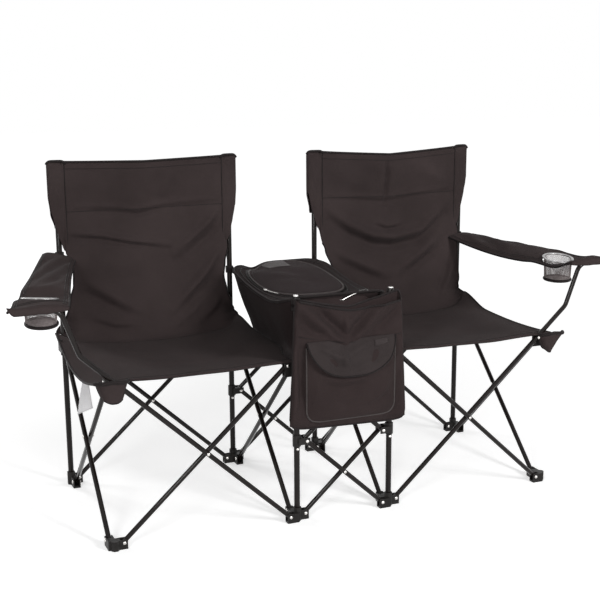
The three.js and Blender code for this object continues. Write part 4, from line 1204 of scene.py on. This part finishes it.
def lid():
    """The zipped panel in the bag's top, which opens about its rear edge."""
    body = "cooler_lid"
    # The lid's top takes the darker lid cloth, which is painted shade.
    panel = bag_sheet(
        "cooler_lid_panel", body, SHADED_LID_CLOTH, lambda u, v: lid_rim(u, v * 0.985), cells=(140, 40),
        flat=(1000, 130), thick=3.0)
    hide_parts("cooler_lid")
    trim = bmesh.new()
    # The grey piping round the lid is partly real piping and partly a painted highlight along its
    # flange.
    sweep(trim, [lid_rim(t, share=0.975, lift=1.8) for t in LID_TURNS], 2.6, closed=True, finish=1)
    sweep(trim, [lid_rim(t, share=0.9, lift=1.2) for t in LID_TURNS], 0.8, sides=6, closed=True)
    edging = bag_trim("cooler_lid_binding", trim, body, DARK_BINDING, GREY_PIPING_AND_HIGHLIGHT)

    teeth = bmesh.new()
    tooth = Matrix.Diagonal((1.7, 3.8, 1.8, 1))
    for k, t in enumerate(steps(ZIP_FROM, ZIP_TO, ZIP_TEETH)):
        ahead = lid_rim(t + 0.003, ZIP_SHARE) - lid_rim(t, ZIP_SHARE)
        turn = ahead.to_track_quat("X", "Z").to_matrix().to_4x4()
        offset = Matrix.Translation((0, 1.0 if k % 2 else -1.0, 0))
        bmesh.ops.create_cube(teeth, size=1.0, matrix=(
            Matrix.Translation(lid_rim(t, ZIP_SHARE, lift=2.6)) @ turn @ offset @ tooth))
    zip_piece = bag_trim("cooler_lid_zip", teeth, body, NYLON, sharp=CRISP)

    slider = bmesh.new()
    tongue = [lid_rim(t, 1.0, lift=5.5) for t in steps(ZIP_PULL_FROM, ZIP_PULL_TO, 14)]
    sweep(slider, tongue, 2.8, sides=10, flatten=0.4)
    old_faces = set(slider.faces)
    head_at = Matrix.Translation(lid_rim(ZIP_PULL_FROM - 0.002, 1.0, lift=4.5))
    bmesh.ops.create_cube(slider, size=1.0, matrix=(
        head_at @ Matrix.Rotation(0.4, 4, "Z") @ Matrix.Diagonal((9, 13, 6, 1))))
    new_edges = [e for e in slider.edges if any(f not in old_faces for f in e.link_faces)]
    ease_edges(slider, new_edges, 1.4)
    zip_pull = piece("cooler_lid_zip_pull", slider, body, RIVET_STEEL, sharp=HARD)

    pull = bmesh.new()
    near, far = Vector((84, -226, 611)), Vector((0, -243, 594))
    tape = [near.lerp(far, t) + Vector((0, 0, 4 * arch(t))) for t in steps(0, 1, 14)]
    sweep(pull, tape, 5.5, sides=10, flatten=0.3, finish=1)
    beside = (far - near).cross(Vector((0, 0, 1))).normalized() * 5.0
    tip = far + Vector((-3, -2, 0))
    sweep(pull, [at + beside for at in tape] + [tip] + [at - beside for at in reversed(tape)], 1.1)
    front_pull = piece(
        "cooler_front_pull", pull, "front_column_left_inner", RIVET_STEEL, NYLON, sharp=HARD)
    gather([front_pull], front_left_inner)

    def patch_place(u, v):
        return lid_point(lerp(-54, 14, u), lerp(148, 212, v), 2.6)

    patch = bag_sheet(
        "cooler_lid_patch", body, PATCH, patch_place, cells=(14, 12), flat=(68, 66), thick=1.2)
    gather((panel, edging, zip_piece, zip_pull, patch), rear_left_inner)


lid()


# ---------------------------------------------------------------- organiser
POUCH_FOLDS = [
    ([(-150, 606), (-100, 562), (-36, 512)], 13, 15.0),
    ([(-100, 592), (-52, 546), (-8, 504)], 14, -20.0),
    ([(-148, 566), (-112, 534), (-70, 514)], 11, -11.0),
    ([(112, 600), (62, 556), (18, 512)], 13, 15.0),
    ([(72, 582), (34, 544), (-6, 504)], 13, -19.0),
    ([(146, 578), (112, 546), (70, 514)], 11, -12.0),
    ([(-12, 566), (-10, 536), (-8, 508)], 8, 10.0),
    ([(-64, 520), (-14, 494), (44, 524)], 9, 9.0),
    ([(150, 420), (146, 360), (150, 300)], 8, 4.0),
    ([(-160, 470), (-154, 370), (-160, 300)], 10, 8.0),
    ([(-141, 484), (-138, 400), (-141, 300)], 11, -13.0),
]
POCKET_FOLDS = [
    ([(-96, 412), (-44, 394), (30, 396), (92, 416)], 8, 5.0),
    ([(-86, 390), (-34, 374), (36, 378)], 9, -5.0),
    ([(56, 330), (92, 356), (116, 398)], 10, 5.0),
    ([(-112, 330), (-100, 372), (-104, 410)], 9, 4.0),
    ([(30, 312), (74, 326), (108, 350)], 9, -4.0),
    ([(-60, 356), (-10, 346), (40, 356)], 12, 3.0),
]
FLAP_FOLDS = [
    ([(-100, 500), (-60, 470), (-28, 455)], 10, 9.0),
    ([(-28, 486), (-26, 462), (-20, 425)], 9, 10.0),
    ([(60, 498), (20, 478), (-20, 460)], 10, 8.0),
    ([(-60, 440), (0, 425), (60, 440)], 12, -5.0),
    ([(-70, 470), (-50, 440), (-46, 418)], 10, -6.0),
    ([(70, 486), (64, 450), (50, 426)], 11, -5.0),
]
# Shares round the pouch where its front, right side and rear end, and how far across the front goes
FRONT_END, RIGHT_END, REAR_END, FRONT_REACH = 0.62, 0.69, 0.93, 0.96
FLAP_TOP, FLAP_DROP = POCKET_TOP + 6.0, 96.0
FLAP_DIP_X, FLAP_DIP_WIDTH, FLAP_DIP = -12.0, 24.0, 13.0
POCKET_SHIFT = 2.0
GUSSET_REAR_Y = -233.0
# Shares of the pouch's side seams and of its front seam
RIGHT_SEAM, LEFT_SEAM, FRONT_SEAM = 0.655, 0.965, 0.745
HANGER_LOW, HANGER_HIGH = ORGANISER_TOP - 24, ORGANISER_TOP - 2


def organiser_share(z):
    return (z - ORGANISER_LOW) / (ORGANISER_TOP - ORGANISER_LOW)


def organiser_half(z):
    """The pouch widens towards its lower hem."""
    return lerp(169.0, 151.0, organiser_share(z))


def organiser_front(x, z):
    """How far forward the organiser's front cloth lies."""
    half = organiser_half(z)
    u, v = limit((x + half) / (2 * half)), limit(organiser_share(z))
    return ORGANISER_FRONT - 5.0 * arch(u) * arch(v ** 0.8)


def pouch_place(u, v):
    """A point of the pouch by share round it, from its front's left edge, and share up."""
    if u < FRONT_END:
        across, rear_share = lerp(-FRONT_REACH, FRONT_REACH, u / FRONT_END), 0.0
    elif u < RIGHT_END:
        turn = pi * (u - FRONT_END) / (RIGHT_END - FRONT_END)
        across = FRONT_REACH + (1 - FRONT_REACH) * sin(turn)
        rear_share = 0.5 - 0.5 * cos(turn)
    elif u < REAR_END:
        share = (u - RIGHT_END) / (REAR_END - RIGHT_END)
        across, rear_share = lerp(FRONT_REACH, -FRONT_REACH, share), 1.0
    else:
        turn = pi * (u - REAR_END) / (1 - REAR_END)
        across = -FRONT_REACH - (1 - FRONT_REACH) * sin(turn)
        rear_share = 0.5 + 0.5 * cos(turn)
    dip = 1 - abs(across) ** 1.3
    top = lerp(602 - 11 * across - 25 * dip, ORGANISER_TOP + 2 - 30 * dip, rear_share)
    low = ORGANISER_LOW + 10 * abs(across) ** 10 - 5 * across
    z = lerp(low, top, v)
    x = across * organiser_half(z)
    middle = (ORGANISER_FRONT + ORGANISER_REAR) / 2
    front = organiser_front(x, z) + 3.0 * ripple(x, 0, z, size=52.0, seed=4.0)
    front -= fold_rise(x, z, POUCH_FOLDS)
    closed = 0.8 * ease((v - 0.7) / 0.3) * ease((0.5 - across) / 0.6) * (1 - abs(across) ** 6)
    rear = lerp(ORGANISER_REAR, front, closed)
    return Vector((x, lerp(middle, lerp(front, rear, rear_share), ease(v / 0.06)), z))


def pocket_front(z):
    """How far forward the pocket's cloth lies: its mouth is drawn in under the flap."""
    return POCKET_FRONT + 12 * ease((z - 450) / 47)


def pocket_place(u, v):
    """A point of the front pocket, whose lower corners are round."""
    across = 2 * u - 1
    z = lerp(POCKET_LOW, POCKET_TOP, v)
    corner = 1 - min(1.0, (z - POCKET_LOW) / 34)
    half = POCKET_HALF - 30 * (1 - sqrt(max(0.0, 1 - corner ** 2)))
    x = half * across + POCKET_SHIFT
    rim_rise = (1 - abs(across) ** 5) * min(1.0, sqrt(max(v, 0) / 0.16))
    back_y = organiser_front(x, z) - 1.2
    front = pocket_front(z) + 3 + 2.6 * ripple(x, 0, z, size=50.0, seed=7.0) - 2.0 * arch(v)
    front -= fold_rise(x, z, POCKET_FOLDS)
    sag = (9 + 5 * (1 - across * across)) * ease((v - 0.8) / 0.2)
    return Vector((x, lerp(back_y, front, rim_rise), z - sag))


def gusset_place(u, v):
    """A point of the cloth that fills the mouth between the organiser and the cooler."""
    across = lerp(-0.8, 0.62, u)
    round_share = FRONT_END * (across + FRONT_REACH) / (2 * FRONT_REACH)
    near = pouch_place(round_share, 1.0) + Vector((0, 4, -5))
    far = Vector((near.x, GUSSET_REAR_Y, rim_height(near.x, GUSSET_REAR_Y) - 4))
    at = near.lerp(far, v * (1 - ease((u - 0.86) / 0.14) * 0.9))
    at.z -= 9 * arch(v) * (1 + 0.5 * sin(9 * u)) - 3 * ripple(at.x, at.y, 0, size=30.0, seed=2.0)
    return at


def organiser():
    """The pouch on the two front posts, its pocket and the cloth at its mouth."""
    body = "front_column_left_inner"
    shell = bag_sheet(
        "organiser_pouch", body, BAG_CLOTH, pouch_place, cells=(120, 62), flat=(640, 345),
        thick=1.6)
    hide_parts("organiser")

    trim = bmesh.new()
    sweep(trim, line_across(pouch_place, 1.0, 0.0, FRONT_END, 60, shift=(0, -0.8, 1)), 3.0)
    sweep(trim, line_across(pouch_place, 1.0, 0.66, 0.96, 50), 2.8)
    sweep(trim, line_up(pouch_place, RIGHT_SEAM, 1, 0.05, 40)
          + line_across(pouch_place, 0.0, 0.615, 0.005, 50)
          + line_up(pouch_place, LEFT_SEAM, 0.05, 1, 40), 2.8)
    stitch(trim, line_across(pouch_place, FRONT_SEAM, 0.0, FRONT_END, 60, shift=(0, -1.2, -4)), 0.9)
    edging = bag_trim("organiser_binding", trim, body, DARK_BINDING)

    pocket = bag_sheet(
        "organiser_pocket", body, BAG_CLOTH, pocket_place, cells=(64, 48), flat=(300, 220),
        thick=1.8)
    piping = bmesh.new()
    forward = (0, -1.5, 0)
    sweep(piping, line_up(pocket_place, 0.0, 1, 0.02, 40, forward)
          + line_across(pocket_place, 0.0, 0.02, 0.98, 50, forward)
          + line_up(pocket_place, 1.0, 0.02, 1, 40, forward), 2.2)
    sweep(piping, line_across(pocket_place, 1.0, 0.01, 0.99, 40), 2.2, finish=1)
    pocket_rim = bag_trim("organiser_pocket_piping", piping, body, GREY_PIPING_AND_HIGHLIGHT, DARK_BINDING)

    mouth = bag_sheet(
        "organiser_mouth_gusset", body, BAG_CLOTH, gusset_place, cells=(40, 14), flat=(200, 50),
        thick=1.4)
    gather(
        (shell, edging, pocket, pocket_rim, mouth), in_frame(COLUMN_X[1], FRONT_Y, HUB_Z))
    for column in (1, 2):
        post_band(
            f"organiser_hanger_{COLUMN_NAMES[column]}", "front", column, HANGER_LOW, HANGER_HIGH,
            toward=(COLUMN_X[column] * 0.98, ORGANISER_REAR + 0.6))


organiser()


def flap_place(u, v):
    """A point of the pocket's flap by share across and share down."""
    across = 2 * u - 1
    x = POCKET_HALF * across + POCKET_SHIFT
    fall = v * max(FLAP_DROP * (1 - abs(across) ** 2.7) ** 0.62, 2.0)
    z = FLAP_TOP - fall - FLAP_DIP * bell(x - FLAP_DIP_X, FLAP_DIP_WIDTH) * (1 - ease(v / 0.5))
    share = min(1.0, fall / 18)
    curl = 7 * ease((v - 0.55) / 0.45) * (1 - across ** 4)
    y = lerp(organiser_front(x, FLAP_TOP) - 2.5, pocket_front(z + 9) - 2.6 - curl,
             share * (1.25 - 0.25 * share))
    y += 1.4 * ripple(x, 0, z, size=44.0, seed=6.0) - fold_rise(x, z, FLAP_FOLDS) * ease(v / 0.25)
    return Vector((x, y, z))


def pocket_flap():
    """The flap that hinges along its top, its piping and its bare tab."""
    body = "pocket_flap"
    panel = bag_sheet(
        "pocket_flap_panel", body, FLAP_CLOTH, flap_place, cells=(64, 28), flat=(256, 114),
        thick=1.8)
    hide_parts("pocket_flap")
    piping = bmesh.new()
    sweep(piping, line_across(flap_place, 1.0, 0.0, 1.0, 80, shift=(0, -0.8, 0)), 2.3)
    edging = bag_trim("pocket_flap_piping", piping, body, DARK_BINDING)

    def tab_place(u, v):
        return flap_place(lerp(0.75, 0.9, u), lerp(0.3, 0.1, v)) + Vector((0, -2.2, 0))

    tab = bag_sheet(
        "pocket_flap_tab", body, FLAP_TAB, tab_place, cells=(12, 8), flat=(39, 18), thick=1.0)
    gather((panel, edging, tab), in_frame(COLUMN_X[1], FRONT_Y, POCKET_TOP))


pocket_flap()


# ---------------------------------------------------------------- studio
WHITE = (1, 1, 1, 1)
FLOOR_HALF = 14.0
# Distance from the middle and strength of the floor's glow, near and far
GLOW_NEAR, GLOW_FAR = (0.9, 0.5), (4.0, 0.83)
AIR_LIGHT = 0.23
# Name, place, aim, size and power of each lamp
LAMPS = (
    ("softbox_key", (1.5, -3.4, 2.1), (0, 0, 0.55), (0.6, 1.5), 99),
    ("softbox_fill", (-2.5, -2.9, 1.6), (0, 0, 0.5), (0.6, 1.5), 56),
    ("softbox_rear", (-1.9, 3.2, 1.9), (0, 0, 0.5), (0.9, 1.5), 46),
    ("softbox_top", (0.2, 0.2, 3.4), (0, 0, 0.4), (1.6, 1.6), 5),
)
CAMERA_AT, CAMERA_DOWN, CAMERA_ROUND = (-1.2906, -3.07565, 1.2638), 0.2376, -0.4142
CAMERA_LENS, CAMERA_SHIFT = 72.555, (-0.0485, 0.0542)


def seen(tree):
    """1 on the rays that show a thing as it is, 0 on those that only light others."""
    path = add_node(tree, "ShaderNodeLightPath")
    total = path.outputs["Is Camera Ray"]
    for ray in ("Is Glossy Ray", "Is Transmission Ray"):
        total = add_node(tree, "ShaderNodeMath", {0: total, 1: path.outputs[ray]},
                         operation="MAXIMUM").outputs[0]
    return total


def paper_floor(scene):
    """A plain pale floor that keeps the shadow and brightens away from the part."""
    mesh = bpy.data.meshes.new("studio_floor")
    bm = bmesh.new()
    bmesh.ops.create_grid(bm, x_segments=1, y_segments=1, size=FLOOR_HALF)
    bm.to_mesh(mesh)
    bm.free()
    floor = bpy.data.objects.new("studio_floor", mesh)
    scene.collection.objects.link(floor)
    paper = bpy.data.materials.new("white_paper_floor")
    paper.use_nodes = True
    tree = paper.node_tree
    tree.nodes.clear()
    where = add_node(tree, "ShaderNodeTexCoord")
    away = add_node(tree, "ShaderNodeVectorMath", {0: where.outputs["Object"]}, operation="LENGTH")
    brighter = add_node(tree, "ShaderNodeMapRange", {
        "Value": away.outputs["Value"], "From Min": GLOW_NEAR[0], "To Min": GLOW_NEAR[1],
        "From Max": GLOW_FAR[0], "To Max": GLOW_FAR[1]})
    share = add_node(tree, "ShaderNodeMath", {0: seen(tree), 1: brighter.outputs["Result"]},
                     operation="MULTIPLY")
    glow = add_node(tree, "ShaderNodeEmission", {"Color": WHITE, "Strength": share.outputs[0]})
    matt = add_node(tree, "ShaderNodeBsdfDiffuse", {"Color": (0.82, 0.82, 0.82, 1)})
    both = add_node(tree, "ShaderNodeAddShader", {0: matt.outputs[0], 1: glow.outputs[0]})
    add_node(tree, "ShaderNodeOutputMaterial", {"Surface": both.outputs[0]})
    mesh.materials.append(paper)


def studio():
    """White surroundings, four soft lamps and the photograph's camera."""
    scene = bpy.context.scene
    scene.view_settings.view_transform = "Standard"
    paper_floor(scene)

    world = bpy.data.worlds.new("studio_air")
    scene.world = world
    world.use_nodes = True
    tree = world.node_tree
    air = tree.nodes["Background"]
    air.inputs["Color"].default_value = WHITE
    level = add_node(tree, "ShaderNodeMapRange",
                     {"Value": seen(tree), "To Min": AIR_LIGHT, "To Max": 1.0})
    tree.links.new(level.outputs["Result"], air.inputs["Strength"])

    for name, place, aim, size, strength in LAMPS:
        lamp = bpy.data.lights.new(name, "AREA")
        lamp.shape = "RECTANGLE"
        lamp.size, lamp.size_y = size
        lamp.energy = strength
        light = bpy.data.objects.new(name, lamp)
        light.location = place
        light.rotation_euler = (Vector(aim) - Vector(place)).to_track_quat("-Z", "Y").to_euler()
        scene.collection.objects.link(light)

    lens = bpy.data.cameras.new("photo_camera")
    lens.sensor_width = 36.0
    lens.lens = CAMERA_LENS
    lens.shift_x, lens.shift_y = CAMERA_SHIFT
    camera = bpy.data.objects.new("photo_camera", lens)
    camera.location = CAMERA_AT
    camera.rotation_euler = (pi / 2 - CAMERA_DOWN, 0.0, CAMERA_ROUND)
    scene.collection.objects.link(camera)
    scene.camera = camera


studio()
